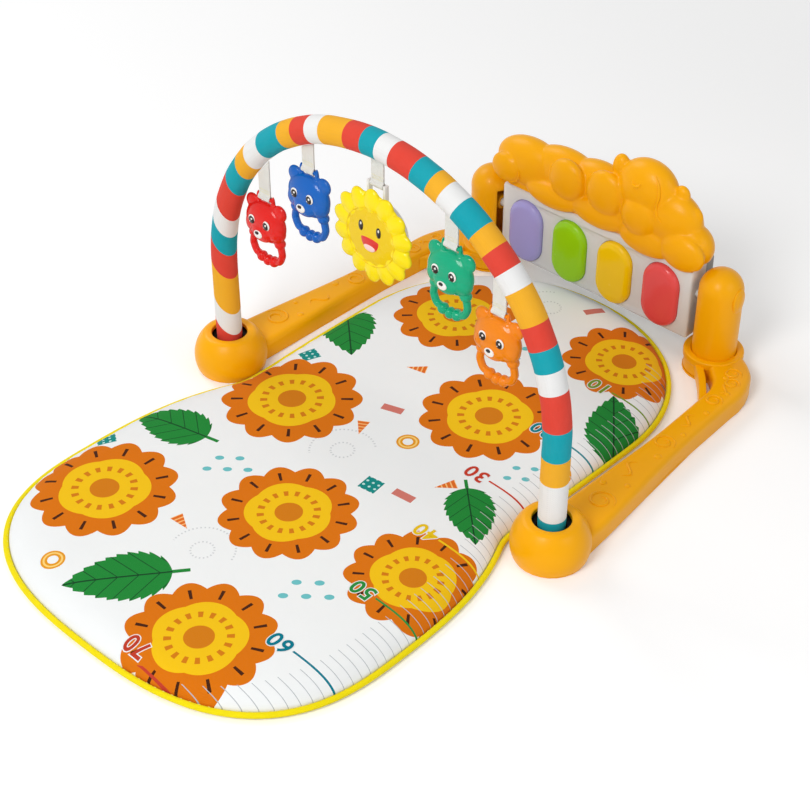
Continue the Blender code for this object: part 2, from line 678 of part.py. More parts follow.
def build_crest():
    """A sleeping animal in relief along the piano's top: rounded lumps grown together on a flat seat."""
    ease = CONSOLE_HALF / 0.1325
    deep = FRONT_Y + 0.0145
    front = FRONT_Y + 0.0005
    # (x, z above the console, y, half width, half height, half depth)
    lumps = (
        (-0.090, 0.018, deep, 0.055, 0.020, 0.019),
        (-0.010, 0.022, deep, 0.060, 0.022, 0.019),
        (0.072, 0.018, deep, 0.058, 0.021, 0.019),
        (-0.112, 0.027, deep + 0.002, 0.040, 0.029, 0.021),
        (-0.126, 0.019, front + 0.002, 0.019, 0.020, 0.012),
        (-0.066, 0.034, deep + 0.002, 0.045, 0.027, 0.020),
        (-0.022, 0.040, deep + 0.002, 0.042, 0.027, 0.020),
        (-0.040, 0.042, front, 0.021, 0.023, 0.012),
        (0.011, 0.050, front, 0.022, 0.025, 0.012),
        (0.062, 0.036, front - 0.001, 0.020, 0.022, 0.012),
        (0.056, 0.063, deep, 0.040, 0.036, 0.022),
        (0.097, 0.044, deep, 0.034, 0.026, 0.021),
        (0.121, 0.022, deep, 0.024, 0.024, 0.020),
        (0.021, 0.079, deep, 0.010, 0.014, 0.009),
        (0.098, 0.069, deep, 0.008, 0.013, 0.008),
        (0.115, 0.060, deep, 0.007, 0.012, 0.007),
    )
    seat = CONSOLE_TOP + GAP
    slab_half = 0.97 * CONSOLE_HALF
    slab = box((-slab_half, FRONT_Y + 0.002, seat), (slab_half, FRONT_Y + 0.034, seat + 0.022))
    crest = piece("piano_crest", slab, frame_yellow())
    group = bpy.data.collections.new("crest_lumps")
    CUTTERS.children.link(group)
    for x, z, y, *radii in lumps:
        middle = (x * ease, y, CONSOLE_TOP + z)
        helper(ellipsoid(middle, (radii[0] * ease, radii[2], radii[1]), 12, 6), group)
    grow = crest.modifiers.new("Grow", "BOOLEAN")
    grow.operation = "UNION"
    grow.solver = "EXACT"
    grow.operand_type = "COLLECTION"
    grow.collection = group
    wide = 2 * CONSOLE_HALF
    tall = CONSOLE_TOP + 0.2
    cut(crest, box((-wide, REAR_Y - 0.005, 0), (wide, REAR_Y + 0.1, tall)))
    console = box((-CONSOLE_HALF - GAP, FRONT_Y - GAP, 0), (CONSOLE_HALF + GAP, REAR_Y + 0.01, seat))
    cut(crest, console)
    sweep = POST_TOP - PIVOT_Z + 0.0008
    for side in (-1, 1):
        ends = [(side * x, POST_Y, PIVOT_Z) for x in (CONSOLE_HALF + 2 * GAP, wide)]
        cut(crest, cylinder(*ends, sweep, 40))
    pocket_low = (-0.100 * ease, FRONT_Y + 0.005, seat + 0.006)
    cut(crest, box(pocket_low, (0.100 * ease, REAR_Y + 0.01, seat + 0.042)))
    return crest


# Toy arch

def arch_points(foot_z):
    """The arch's centre line from the left foot to the right one."""
    points = [Vector((-ARCH_R, 0, foot_z))]
    for i in range(180 // ARCH_STEP + 1):
        angle = math.radians(180 - i * ARCH_STEP)
        points.append(Vector((ARCH_R * math.cos(angle), 0, ARCH_LEG + ARCH_R * math.sin(angle))))
    points.append(Vector((ARCH_R, 0, foot_z)))
    return points


def build_arch():
    fabric = finish("sleeve_fabric", (0.78, 0.30, 0.22), 0.85)
    sleeve = piece("arch_sleeve", tube(arch_points(SOCKET_TOP + GAP), SLEEVE_R, 4), fabric)
    cut(sleeve, tube(arch_points(SOCKET_TOP - 0.01), ROD_R + 1.5 * GAP, 3))
    rod_finish = finish("rod_white", (0.7, 0.7, 0.68), 0.5)
    foot = SHELL_BOTTOM + SOCKET_FLOOR + GAP
    line = arch_points(foot)
    first = 1 + ROD_SPLIT // ARCH_STEP
    last = len(line) - 1 - first
    ease = 2 * GAP
    spans = {
        "arch_rod_left": line[:first + 1],
        "arch_rod_top": line[first:last + 1],
        "arch_rod_right": line[last:],
    }
    rods = {}
    for name, points in spans.items():
        points = [point.copy() for point in points]
        if name != "arch_rod_left":
            points[0] += (points[1] - points[0]).normalized() * ease
        if name != "arch_rod_right":
            points[-1] += (points[-2] - points[-1]).normalized() * ease
        rods[name] = piece(name, tube(points, ROD_R, 3), rod_finish)
    for name, joint, inward in (("arch_rod_left", first, 1), ("arch_rod_right", last, -1)):
        start = line[joint]
        along = (line[joint + inward] - start).normalized()
        root = start - along * 0.004
        fuse(rods[name], cylinder(root, start + along * SPIGOT_LENGTH, SPIGOT_R, 12))
        bottom = start + along * (SPIGOT_LENGTH + GAP)
        cut(rods["arch_rod_top"], cylinder(root, bottom, SPIGOT_R + GAP, 12))
    return [sleeve, *rods.values()]


def strap_places(degrees, length):
    """The swing axis under the sleeve, the direction of the sleeve there, and the toy's bar."""
    angle = math.radians(90 - degrees)
    outward = Vector((math.cos(angle), 0, math.sin(angle)))
    along = Vector((outward.z, 0, -outward.x))
    reach = ARCH_R * math.cos(math.radians(ARCH_STEP / 2)) - SLEEVE_R - SWING_GAP - STRAP_THICK / 2
    swing = Vector((0, 0, ARCH_LEG)) + outward * reach
    return swing, along, swing - Vector((0, 0, length))


def build_strap(name, degrees, length):
    """Flat webbing whose slanted hem meets the sleeve and whose lower loop holds the toy's bar."""
    swing, along, bar = strap_places(degrees, length)
    half_x, half_y = STRAP_WIDTH / 2, STRAP_THICK / 2
    slope = along.z / along.x
    hem = half_y * math.hypot(1, slope)
    loop_r = BAR_R + GAP + LOOP_WALL
    rings = []
    for x in (-half_x, half_x):
        top = swing.z + slope * x + hem
        foot = bar.z + loop_r - LOOP_WALL / 2
        corners = ((-half_y, foot), (half_y, foot), (half_y, top), (-half_y, top))
        rings.append([(bar.x + x, y, z) for y, z in corners])
    strap = piece(name + "_strap", loft(rings), webbing())
    ends = [bar + Vector((x, 0, 0)) for x in (-half_x, half_x)]
    fuse(strap, cylinder(*ends, loop_r, 14))
    longer = [bar + Vector((x, 0, 0)) for x in (-2 * half_x, 2 * half_x)]
    cut(strap, cylinder(*longer, BAR_R + GAP, 14))
    return strap


def add_bar(obj, bar, foot_z, y_front):
    """The bar that a strap loops round, on two prongs that stand on the toy."""
    out = STRAP_WIDTH / 2 + 0.001
    prong = 0.003
    for side in (-1, 1):
        near, far = sorted((side * out, side * (out + prong)))
        low = (bar.x + near, y_front, foot_z)
        fuse(obj, box(low, (bar.x + far, 1.3 * BAR_R, bar.z + 1.3 * BAR_R)))
    reach = out + prong / 2
    fuse(obj, cylinder(bar - Vector((reach, 0, 0)), bar + Vector((reach, 0, 0)), BAR_R, 12))


def ring_points(bar):
    """A closed loop: it crosses the head inside and carries grip beads along its bottom run."""
    top, shoulder = bar.z - HEAD_DROP - 0.006, bar.z - 0.057
    bottom = bar.z - RING_DROP
    grip = RING_HALF * 0.62
    half = [(0, top, 1), (0.012, top, 1), (0.0165, top - 0.006, 1), (RING_HALF, shoulder, 1)]
    half += [(RING_HALF - 0.001, shoulder - 0.006, 1), (grip + 0.003, bottom + 0.003, 1)]
    beads = 3
    steps = 4 * beads
    lower = []
    for i in range(steps + 1):
        share = i / steps
        x = grip * (1 - 2 * share)
        swell = 1 + 0.4 * math.sin(math.pi * beads * share) ** 2
        lower.append((x, bottom + 0.003 * (x / grip) ** 2, swell))
    left = [(-x, z, swell) for x, z, swell in half[:0:-1]]
    return half + lower + left


def build_rattle(name, degrees, length, colour):
    """An animal-head rattle: two shells, round ears, and a beaded ring trapped between the shells."""
    bar = strap_places(degrees, length)[2]
    paint = finish(name, colour, 0.3)
    middle = bar + Vector((0, HEAD_FORWARD, -HEAD_DROP))
    loop = ring_points(bar)
    route = [Vector((bar.x + x, 0, z)) for x, z, swell in loop]
    swell = [s for x, z, s in loop]
    halves = []
    for word, facing in (("_front", -1), ("_back", 1)):
        bm = ellipsoid(middle, HEAD_RADII, 14, 6)
        plane = bar.y + HEAD_PARTING + facing * GAP / 2
        geom = bm.verts[:] + bm.edges[:] + bm.faces[:]
        bmesh.ops.bisect_plane(
            bm, geom=geom, plane_co=(0, plane, 0), plane_no=(0, facing, 0), clear_inner=True
        )
        bmesh.ops.holes_fill(bm, edges=[edge for edge in bm.edges if edge.is_boundary])
        shell = piece(name + word, bm, paint)
        cut(shell, ellipsoid(middle, [radius - TOY_WALL for radius in HEAD_RADII], 14, 6))
        halves.append(shell)
    front, back = halves
    y_front = bar.y + HEAD_PARTING + GAP / 2
    for side in (-1, 1):
        ear = Vector((bar.x + side * EAR_OUT, y_front + 2 * GAP, bar.z - EAR_DROP))
        fuse(back, cylinder(ear, ear + Vector((0, 0.006, 0)), EAR_R, 14))
    add_bar(back, bar, bar.z - 0.0095, y_front + 3 * GAP)
    for shell in halves:
        cut(shell, tube(route, RING_R + GAP, 2, closed=True))
    ring = piece(name + "_ring", tube(route, RING_R, 2, swell, closed=True), paint)
    return [front, back, ring]


def build_flower():
    """A sunflower: scalloped petals, a domed face in front and a thick white rattle case behind."""
    bar = strap_places(0, FLOWER_STRAP)[2]
    middle = bar - Vector((0, 0, FLOWER_DROP))
    loop_r = BAR_R + 2 * GAP + LOOP_WALL
    petal_back = -loop_r - GAP
    petal_front = petal_back - PETAL_THICK

    def petal_ring(y, shrink):
        points = []
        for i in range(PETAL_COUNT * 4):
            angle = 2 * math.pi * i / (PETAL_COUNT * 4)
            bulge = abs(math.sin(PETAL_COUNT * angle / 2))
            radius = PETAL_ROOT_R + (PETAL_TIP_R - PETAL_ROOT_R) * bulge - shrink
            points.append((middle.x + radius * math.sin(angle), y, middle.z + radius * math.cos(angle)))
        return points

    section = ((petal_back, 0.001), (petal_back - 0.0012, 0), (petal_front, 0.002))
    rings = [petal_ring(y, shrink) for y, shrink in section]
    petals = piece("sunflower_petals", loft(rings), finish("petal_yellow", (0.90, 0.73, 0.005), 0.35))
    face_back = middle + Vector((0, petal_front - GAP, 0))
    face_paint = finish("face_yellow", (0.82, 0.55, 0.01), 0.35)
    disc = cylinder(face_back, face_back - Vector((0, 0.0022, 0)), FLOWER_FACE_R, 28, FLOWER_FACE_R - 0.003)
    face = piece("sunflower_face", disc, face_paint)
    case_front = middle + Vector((0, petal_back + GAP, 0))
    case_back = case_front + Vector((0, FLOWER_BACK_THICK, 0))
    case = cylinder(case_front, case_back, FLOWER_BACK_R, 28, FLOWER_BACK_R - 0.004)
    back = piece("sunflower_back", case, finish("toy_white", (0.85, 0.85, 0.83), 0.4))
    add_bar(back, bar, middle.z + FLOWER_BACK_R - 0.006, petal_back + 3 * GAP)
    return [petals, face, back]


def main():
    for obj in list(bpy.data.objects):
        bpy.data.objects.remove(obj, do_unlink=True)
    for collection in (GYM, CUTTERS):
        bpy.context.scene.collection.children.link(collection)

    build_mat()
    for side, word in ((-1, "left"), (1, "right")):
        build_arm(side, word)
        build_foot(side, word)
        build_post(side, word)

    front, rear = build_case()
    works, switch = build_electronics(rear)
    keys = [build_key(i, x, z) for i, (x, z) in enumerate(key_places())]
    screws = []
    for i, (x, z) in enumerate(boss_places()):
        screws.append(screw(f"case_screw_{i + 1}", x, REAR_Y + GAP, z, 0.020))
    fixed = [front, rear, *works, *screws, *build_pins(), build_crest()]
    piano = pivot("piano_pivot", (0, POST_Y, PIVOT_Z), fixed)
    for i, (key, (x, z)) in enumerate(zip(keys, key_places())):
        pivot(f"key_{i + 1}_slide", (x, FRONT_Y, z), [key], piano)
    pivot("power_switch_slide", (0.016, REAR_Y, KEY_Z + 0.018), [switch], piano)

    arch = pivot("arch_lift", (0, 0, SOCKET_TOP), build_arch())
    toys = [(name, degrees, length, build_rattle(name, degrees, length, colour))
            for name, degrees, length, colour in RATTLES]
    toys.append(("sunflower", 0, FLOWER_STRAP, build_flower()))
    for name, degrees, length, members in toys:
        swing, along, bar = strap_places(degrees, length)
        strap = pivot(name + "_strap_swing", swing, [build_strap(name, degrees, length)], arch)
        pivot(name + "_bar", bar, members, strap)


main()
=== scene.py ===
# %% [markdown]
# # A baby gym: a soft mat, a striped arch of rattles and a kick piano
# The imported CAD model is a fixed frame: its nodes say where everything is and how it moves.
# Hard pieces whose shape is already right stay and only get a finish. Soft pieces, and moulded pieces
# that need rounder forms, are modelled again in the same place and ride on the same bodies.

# %% Load the frame
import math

import bmesh
import bpy
from mathutils import Matrix, Vector, noise


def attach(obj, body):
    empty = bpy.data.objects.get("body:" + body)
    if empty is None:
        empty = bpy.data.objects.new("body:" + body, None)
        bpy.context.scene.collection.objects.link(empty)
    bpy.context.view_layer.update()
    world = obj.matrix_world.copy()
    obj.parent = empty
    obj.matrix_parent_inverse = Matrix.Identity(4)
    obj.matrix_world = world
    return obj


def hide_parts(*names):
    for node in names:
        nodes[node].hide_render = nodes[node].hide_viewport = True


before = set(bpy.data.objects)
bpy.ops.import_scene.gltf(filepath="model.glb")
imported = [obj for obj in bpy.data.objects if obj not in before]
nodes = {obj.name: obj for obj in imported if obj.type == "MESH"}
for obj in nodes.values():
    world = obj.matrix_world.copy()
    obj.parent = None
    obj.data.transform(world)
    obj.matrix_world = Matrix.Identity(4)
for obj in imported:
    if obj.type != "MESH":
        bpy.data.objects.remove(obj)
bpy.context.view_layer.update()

# %% [markdown]
# ## Camera
# The camera stands where the photographer stood, and its lens gives the toy the same size in the frame.
# Its place was found by fitting the toy's own scale, arch and feet to their places in the photograph.

# %% Camera
scene = bpy.context.scene
scene.view_settings.view_transform = "Standard"
EYE = Vector((1.0166, -1.0497, 1.1780))
AIM = Vector((0.01794, 0.01842, 0.06072))
ROLL = math.radians(0.11)
LENS, SENSOR = 80.1, 36

view = bpy.data.cameras.new("photo_camera")
view.lens = LENS
view.sensor_width = SENSOR
view.clip_end = 100
camera = bpy.data.objects.new("photo_camera", view)
scene.collection.objects.link(camera)
turn = (AIM - EYE).to_track_quat("-Z", "Y").to_matrix() @ Matrix.Rotation(ROLL, 3, "Z")
camera.matrix_world = Matrix.Translation(EYE) @ turn.to_4x4()
scene.camera = camera
print("camera stands", round((AIM - EYE).length, 3), "m from the toy")


# %% [markdown]
# ## Shader sums as Python sums
# A finish is a web of small nodes. Wrapping a socket in a class lets Python's own operators add them,
# so a pattern reads like the formula it is. Any other node comes from one method, node().

# %% Values
class Value:
    """A number, colour or vector that flows through a shader."""

    def __init__(self, sheet, socket):
        self.sheet = sheet
        self.socket = socket

    def do(self, operation, *numbers):
        return self.sheet.node("ShaderNodeMath", {"operation": operation}, dict(enumerate(numbers)))

    def __add__(self, other):
        return self.do("ADD", self, other)

    def __radd__(self, other):
        return self.do("ADD", other, self)

    def __sub__(self, other):
        return self.do("SUBTRACT", self, other)

    def __rsub__(self, other):
        return self.do("SUBTRACT", other, self)

    def __mul__(self, other):
        return self.do("MULTIPLY", self, other)

    def __rmul__(self, other):
        return self.do("MULTIPLY", other, self)

    def __truediv__(self, other):
        return self.do("DIVIDE", self, other)

    def __rtruediv__(self, other):
        return self.do("DIVIDE", other, self)

    def __pow__(self, other):
        return self.do("POWER", self, other)

    def __lt__(self, other):
        return self.do("LESS_THAN", self, other)

    def __gt__(self, other):
        return self.do("GREATER_THAN", self, other)

    def __and__(self, other):
        return self.do("MINIMUM", self, other)

    def __or__(self, other):
        return self.do("MAXIMUM", self, other)

    def __abs__(self):
        return self.do("ABSOLUTE", self)

    def sin(self):
        return self.do("SINE", self)

    def fraction(self):
        return self.do("FRACT", self)

    def floor(self):
        return self.do("FLOOR", self)


print("shader values ready")


# %% [markdown]
# ## Finishes
# A finish is a material with one Principled shader. What is the same all over is set on its sockets
# once, and what changes over the surface is fed by values. Patterns are worked out from the piece's own
# coordinates and not painted on an image, so they stay sharp however close the camera comes.

# %% Finishes
class NodeSheet:
    """A node tree to which nodes are added, each by one call."""

    def __init__(self, tree):
        self.tree = tree

    def node(self, kind, settings=None, inputs=None, output=0):
        made = self.tree.nodes.new(kind)
        for name, value in (settings or {}).items():
            if name == "stops":
                self.set_stops(made.color_ramp, value)
            else:
                setattr(made, name, value)
        for key, value in (inputs or {}).items():
            self.feed(made.inputs[key], value)
        return Value(self, made.outputs[output])

    def set_stops(self, ramp, stops):
        ramp.interpolation = "CONSTANT"
        while len(ramp.elements) < len(stops):
            ramp.elements.new(1)
        for element, (place, colour) in zip(ramp.elements, stops):
            element.position = place
            element.color = colour

    def feed(self, socket, value):
        if isinstance(value, Value):
            self.tree.links.new(value.socket, socket)
        else:
            socket.default_value = value

    def outputs(self, value, *names):
        """More outputs of the node behind a value."""
        return [Value(self, value.socket.node.outputs[name]) for name in names]

    def looked_at(self):
        """1 for a ray from the camera, off a gloss or through glass, and 0 for light itself."""
        path = self.node("ShaderNodeLightPath")
        seen, gloss, glass = self.outputs(path, "Is Camera Ray", "Is Glossy Ray", "Is Transmission Ray")
        return seen | gloss | glass


class Finish(NodeSheet):
    """A procedural material with one Principled shader."""

    def __init__(self, name, fixed=None):
        self.material = bpy.data.materials.new(name)
        self.material.use_nodes = True
        super().__init__(self.material.node_tree)
        self.shader = self.tree.nodes["Principled BSDF"]
        for socket, value in (fixed or {}).items():
            self.shader.inputs[socket].default_value = value

    def set(self, socket, value):
        self.feed(self.shader.inputs[socket], value)

    def place(self):
        return self.node("ShaderNodeTexCoord", output="Object")

    def axes(self, vector=None):
        split = self.node("ShaderNodeSeparateXYZ", inputs={0: vector or self.place()})
        return self.outputs(split, "X", "Y", "Z")

    def noise(self, scale, detail=2.0, vector=None):
        sockets = {"Vector": vector or self.place(), "Scale": scale, "Detail": detail}
        return self.node("ShaderNodeTexNoise", inputs=sockets)

    def weave(self, warp, weft, cell):
        """Crossing threads, as a checker of highs and lows between -1 and 1."""
        return (warp * cell).sin() * (weft * cell).sin()

    def mix(self, first, second, factor):
        return self.node("ShaderNodeMix", {"data_type": "RGBA"}, {0: factor, 6: first, 7: second}, 2)

    def bump(self, height, strength, distance):
        sockets = {"Height": height, "Strength": strength, "Distance": distance}
        self.set("Normal", self.node("ShaderNodeBump", inputs=sockets))


def srgb(red, green, blue):
    """A colour from its screen values, 0 to 255, as the shader wants it."""
    linear = []
    for value in (red, green, blue):
        share = value / 255
        linear.append(share / 12.92 if share <= 0.04045 else ((share + 0.055) / 1.055) ** 2.4)
    return (*linear, 1)


def shade(colour, factor):
    return (*(channel * factor for channel in colour[:3]), 1)


print("finishes ready")


# %% [markdown]
# ## Light and floor
# A studio picture of a toy is lit by big soft sources, so that gloss shows as broad, calm highlights.
# More lamps could make the paper white, but they would wash out every colour. So the lamps stay at a
# plain level, and the sky and the floor are lifted to white only where the camera or a gloss looks.

# %% Studio
SKY_LIGHT = 0.40
FLOOR_HALF, FLOOR_DROP = 3, 0.0004
FLOOR_TONES = ((0.94, 0.94, 0.94, 1), (0.96, 0.96, 0.96, 1))
FLOOR_LIFT = (0.11, 0.11, 0.11, 1)
FLOOR_FADE = (0.8, 2.4)
# Place, aim, width in metres and power in watts
SOFTBOXES = {
    "key_softbox": ((0.4, -1.9, 1.9), (0, 0, 0.1), 1.1, 37),
    "fill_softbox": ((2.2, 0.2, 1.4), (0, 0.1, 0.1), 1.4, 9),
    "side_softbox": ((-2.0, 0.1, 1.9), (0, 0.1, 0.1), 1.4, 20),
}


def as_object(name, bm):
    """Puts a bmesh into the scene as an object of its own."""
    mesh = bpy.data.meshes.new(name)
    bm.to_mesh(mesh)
    bm.free()
    made = bpy.data.objects.new(name, mesh)
    scene.collection.objects.link(made)
    return made


def studio_world():
    """White where the camera or a reflection looks, and an even grey light everywhere else."""
    world = bpy.data.worlds.new("studio")
    world.use_nodes = True
    sky = world.node_tree.nodes["Background"]
    sky.inputs["Color"].default_value = (1, 1, 1, 1)
    sheet = NodeSheet(world.node_tree)
    sheet.feed(sky.inputs["Strength"], SKY_LIGHT + sheet.looked_at() * (1 - SKY_LIGHT))
    scene.world = world


def softbox(name, place, aim, size, power):
    lamp = bpy.data.lights.new(name, "AREA")
    lamp.shape = "DISK"
    lamp.size = size
    lamp.energy = power
    box = bpy.data.objects.new(name, lamp)
    place = Vector(place)
    turn = (Vector(aim) - place).to_track_quat("-Z", "Y")
    box.matrix_world = Matrix.Translation(place) @ turn.to_matrix().to_4x4()
    scene.collection.objects.link(box)


def studio_floor():
    """White paper that keeps the toy's shadow and melts into the white backdrop further out."""
    bm = bmesh.new()
    bmesh.ops.create_grid(bm, x_segments=2, y_segments=2, size=FLOOR_HALF)
    bmesh.ops.translate(bm, vec=(0, 0, -FLOOR_DROP), verts=bm.verts)
    floor = as_object("studio_floor", bm)
    fixed = {"Roughness": 0.9, "Specular IOR Level": 0.0, "Emission Strength": 1.0}
    paper = Finish("studio_paper", fixed)
    paper.set("Base Color", paper.mix(*FLOOR_TONES, paper.noise(1.3, 2)))
    paper.set("Emission Color", paper.mix((0, 0, 0, 1), FLOOR_LIFT, paper.looked_at()))
    away = paper.node("ShaderNodeVectorMath", {"operation": "LENGTH"}, {0: paper.place()}, "Value")
    near, far = FLOOR_FADE
    paper.set("Alpha", paper.node("ShaderNodeMapRange", {"interpolation_type": "SMOOTHSTEP"}, {
        "Value": away, "From Min": near, "From Max": far, "To Min": 1.0, "To Max": 0.0,
    }))
    floor.data.materials.append(paper.material)


studio_world()
studio_floor()
for name, lamp in SOFTBOXES.items():
    softbox(name, *lamp)
print("studio lit by", len(SOFTBOXES), "softboxes")

# %% [markdown]
# ## Moulded plastic
# Toy plastic is nearly one colour, yet never quite: pigment drifts a little, handling leaves duller
# patches, and the mould's spark-eroded skin scatters highlights. Two slow noises and one fine one give
# these, at three scales.

# %% Plastic finishes
YELLOW = srgb(247, 172, 0)
GREY = srgb(220, 222, 222)
KEY_PAINT = {1: srgb(165, 160, 222), 2: srgb(150, 212, 10), 3: srgb(248, 204, 0), 4: srgb(232, 80, 80)}
TOY_PAINT = {
    "red": srgb(228, 26, 18),
    "blue": srgb(8, 98, 190),
    "green": srgb(4, 170, 124),
    "orange": srgb(240, 134, 0),
}
# Noise cells to a metre, from the slowest to the finest
PIGMENT, HANDLING, SPARK = 11, 70, 2200


def moulded(name, colour, roughness, grain, gloss=0.0):
    """Opaque plastic: grain is the depth of its skin texture in metres, gloss a smooth top layer."""
    fixed = {"IOR": 1.45, "Specular IOR Level": 0.2, "Coat Weight": gloss, "Coat Roughness": 0.06}
    made = Finish(name, fixed)
    drift = made.noise(PIGMENT, 3)
    handled = made.noise(HANDLING, 4)
    skin = made.noise(SPARK, 1)
    made.set("Base Color", made.mix(shade(colour, 0.93), shade(colour, 1.04), drift))
    made.set("Roughness", roughness + (handled - 0.5) * 0.16 + (drift - 0.5) * 0.08)
    made.bump(skin * 0.7 + handled * 0.3, 0.35, grain)
    return made


yellow_plastic = moulded("frame_plastic", YELLOW, 0.34, 0.00006, 0.03)
grey_plastic = moulded("panel_plastic", GREY, 0.46, 0.00008)
rear_plastic = moulded("rear_plastic", srgb(148, 152, 152), 0.55, 0.0002)
white_plastic = moulded("white_plastic", srgb(236, 236, 232), 0.34, 0.00005, 0.2)
key_plastic = {i: moulded(f"key_{i}_plastic", c, 0.24, 0.00002, 0.25) for i, c in KEY_PAINT.items()}
toy_plastic = {n: moulded(n + "_toy_plastic", c, 0.2, 0.00002, 0.25) for n, c in TOY_PAINT.items()}
petal_plastic = moulded("petal_plastic", srgb(252, 228, 0), 0.24, 0.00003, 0.2)
flower_face_plastic = moulded("flower_face_plastic", srgb(240, 204, 0), 0.26, 0.00003, 0.15)
black_paint = moulded("black_paint", srgb(34, 26, 24), 0.25, 0.00002, 0.4)
# White paint for the eyes and the snout, also worn by the eyes' glints, which are painted highlights
white_paint_and_glints = moulded("white_paint_and_glints", srgb(246, 244, 240), 0.3, 0.00002, 0.4)
mouth_paint = moulded("mouth_paint", srgb(222, 50, 44), 0.3, 0.00002, 0.3)
tongue_paint = moulded("tongue_paint", srgb(250, 214, 210), 0.3, 0.00002, 0.3)
rod_plastic = moulded("rod_plastic", srgb(218, 218, 214), 0.5, 0.00008)
rubber = moulded("membrane_rubber", srgb(194, 194, 190), 0.8, 0.0002)
# Black for the speaker and the switch, and also painted shade inside the domes' mouths
black_plastic_and_shade = moulded("black_plastic_and_shade", srgb(34, 34, 35), 0.6, 0.0002)
print("materials so far:", len(bpy.data.materials))


# %% [markdown]
# ## Metal, cells and the circuit board
# These sit behind the piano's panel, and show through the slots of its back and on its screws. Zinc has
# fine turning marks, a cell has a printed band, and a board has straight copper runs under green lacquer.

# %% Metal and electronics finishes
TURNING_MARKS = 9000
CELL_BAND, CELL_BAND_HALF = -0.044, 0.007
RUNS_ACROSS, RUNS_UP = 480, 620


def brushed_zinc():
    made = Finish("brushed_zinc", {"Metallic": 1.0})
    x, y, z = made.axes()
    rings = ((x * x + z * z) ** 0.5 * TURNING_MARKS).sin()
    worn = made.noise(500, 3)
    made.set("Base Color", made.mix(srgb(176, 178, 182), srgb(206, 206, 204), worn))
    made.set("Roughness", 0.26 + worn * 0.2)
    made.bump(rings, 0.15, 0.00005)
    return made


def cell_wrap():
    made = Finish("cell_wrap", {"Coat Weight": 0.3})
    x, y, z = made.axes()
    band = abs(x - CELL_BAND) < CELL_BAND_HALF
    scuff = made.noise(160, 4)
    made.set("Base Color", made.mix(srgb(58, 58, 62), srgb(196, 140, 60), band))
    made.set("Roughness", 0.3 + scuff * 0.25)
    made.set("Metallic", band * 0.8)
    return made


def board_lacquer():
    made = Finish("board_lacquer", {"Coat Weight": 0.4})
    x, y, z = made.axes()
    runs = ((x * RUNS_ACROSS).sin() > 0.72) | ((z * RUNS_UP).sin() > 0.8)
    made.set("Base Color", made.mix(srgb(20, 96, 48), srgb(48, 134, 66), runs))
    made.set("Roughness", 0.42 - runs * 0.1)
    made.bump(runs, 0.4, 0.00008)
    return made


zinc = brushed_zinc()
wrap = cell_wrap()
lacquer = board_lacquer()
print("metal, wrap and lacquer ready")


# %% [markdown]
# ## CAD nodes that stay
# A node keeps its mesh and only changes its material. Most of these are works behind the panel; the
# rear case and the battery door are seen.

# %% Finish the CAD nodes
def wear(finish, *names):
    for name in names:
        nodes[name].data.materials.clear()
        nodes[name].data.materials.append(finish.material)


wear(grey_plastic, "left_pivot_pin", "right_pivot_pin")
wear(rear_plastic, "console_rear", "battery_door")
wear(yellow_plastic, "left_arm_base", "right_arm_base", "left_pivot_bearing", "right_pivot_bearing")
# Black on the arch's sockets, deep inside the domes' mouths, is painted shade
wear(black_plastic_and_shade, "left_arch_socket", "right_arch_socket")
wear(rod_plastic, "arch_rod_left", "arch_rod_top", "arch_rod_right")
wear(zinc, "battery_door_screw", "case_screw_1", "case_screw_2")
wear(wrap, "battery_1", "battery_2", "battery_3")
wear(lacquer, "circuit_board")
wear(rubber, "key_membrane")
wear(black_plastic_and_shade, "speaker", "power_switch")
print("finished CAD nodes")


# %% [markdown]
# ## Tools for shapes
# Most of this toy is one outline carried along a path: a mat edge, a sleeve, an arm, a ring. Its faces
# could be listed one by one, but extruding keeps the rings in order by itself. lofted() starts from a
# loop of points and extrudes it again and again, putting each new loop in its place. A number may ride
# along with each loop, for a stripe or a distance that the finish reads later.

# %% Outlines and pieces
def extruded(bm, edges):
    """Carries a line of edges on. Gives its new points and its new edges."""
    made = bmesh.ops.extrude_edge_only(bm, edges=edges)["geom"]
    fresh = {item for item in made if isinstance(item, bmesh.types.BMVert)}
    return fresh, [e for e in made if isinstance(e, bmesh.types.BMEdge) and fresh.issuperset(e.verts)]


def lofted(rings, marks=None, shut=False):
    """A skin through matching closed rings. Its ends are capped, or joined when shut."""
    bm = bmesh.new()
    seat = bm.verts.layers.int.new("seat")
    mark = bm.verts.layers.float.new("along") if marks else None
    verts = [bm.verts.new(point) for point in rings[0]]
    for i, vert in enumerate(verts):
        vert[seat] = i
        if marks:
            vert[mark] = marks[0][i]
    edges = [bm.edges.new((verts[i - 1], verts[i])) for i in range(len(verts))]
    first = edges
    for k, ring in enumerate(rings[1:], 1):
        fresh, edges = extruded(bm, edges)
        for vert in fresh:
            vert.co = ring[vert[seat]]
            if marks:
                vert[mark] = marks[k][vert[seat]]
    if shut:
        bmesh.ops.bridge_loops(bm, edges=first + edges)
    else:
        bmesh.ops.edgeloop_fill(bm, edges=first)
        bmesh.ops.edgeloop_fill(bm, edges=edges)
    bm.verts.layers.int.remove(seat)
    bmesh.ops.recalc_face_normals(bm, faces=bm.faces)
    return bm


def piece(name, bm, finish, body, slot, replaced=(), crease=35):
    """A finished piece that rides on a body and stands for the CAD nodes it replaces."""
    made = as_object(name, bm)
    mesh = made.data
    mesh.shade_smooth()
    mesh.set_sharp_from_angle(angle=math.radians(crease))
    mesh.materials.append(finish.material)
    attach(made, body)
    if replaced:
        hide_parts(*replaced)
    print(f"{name}: {len(mesh.polygons)} faces")
    return made


print("outline helpers ready")


# %% [markdown]
# ## The mat's outline
# The mat is wide at the free end, drawn in between the feet and round at the piano. Its edge is worked
# out once, finely and evenly spaced, and every sewn row follows it at its own distance.

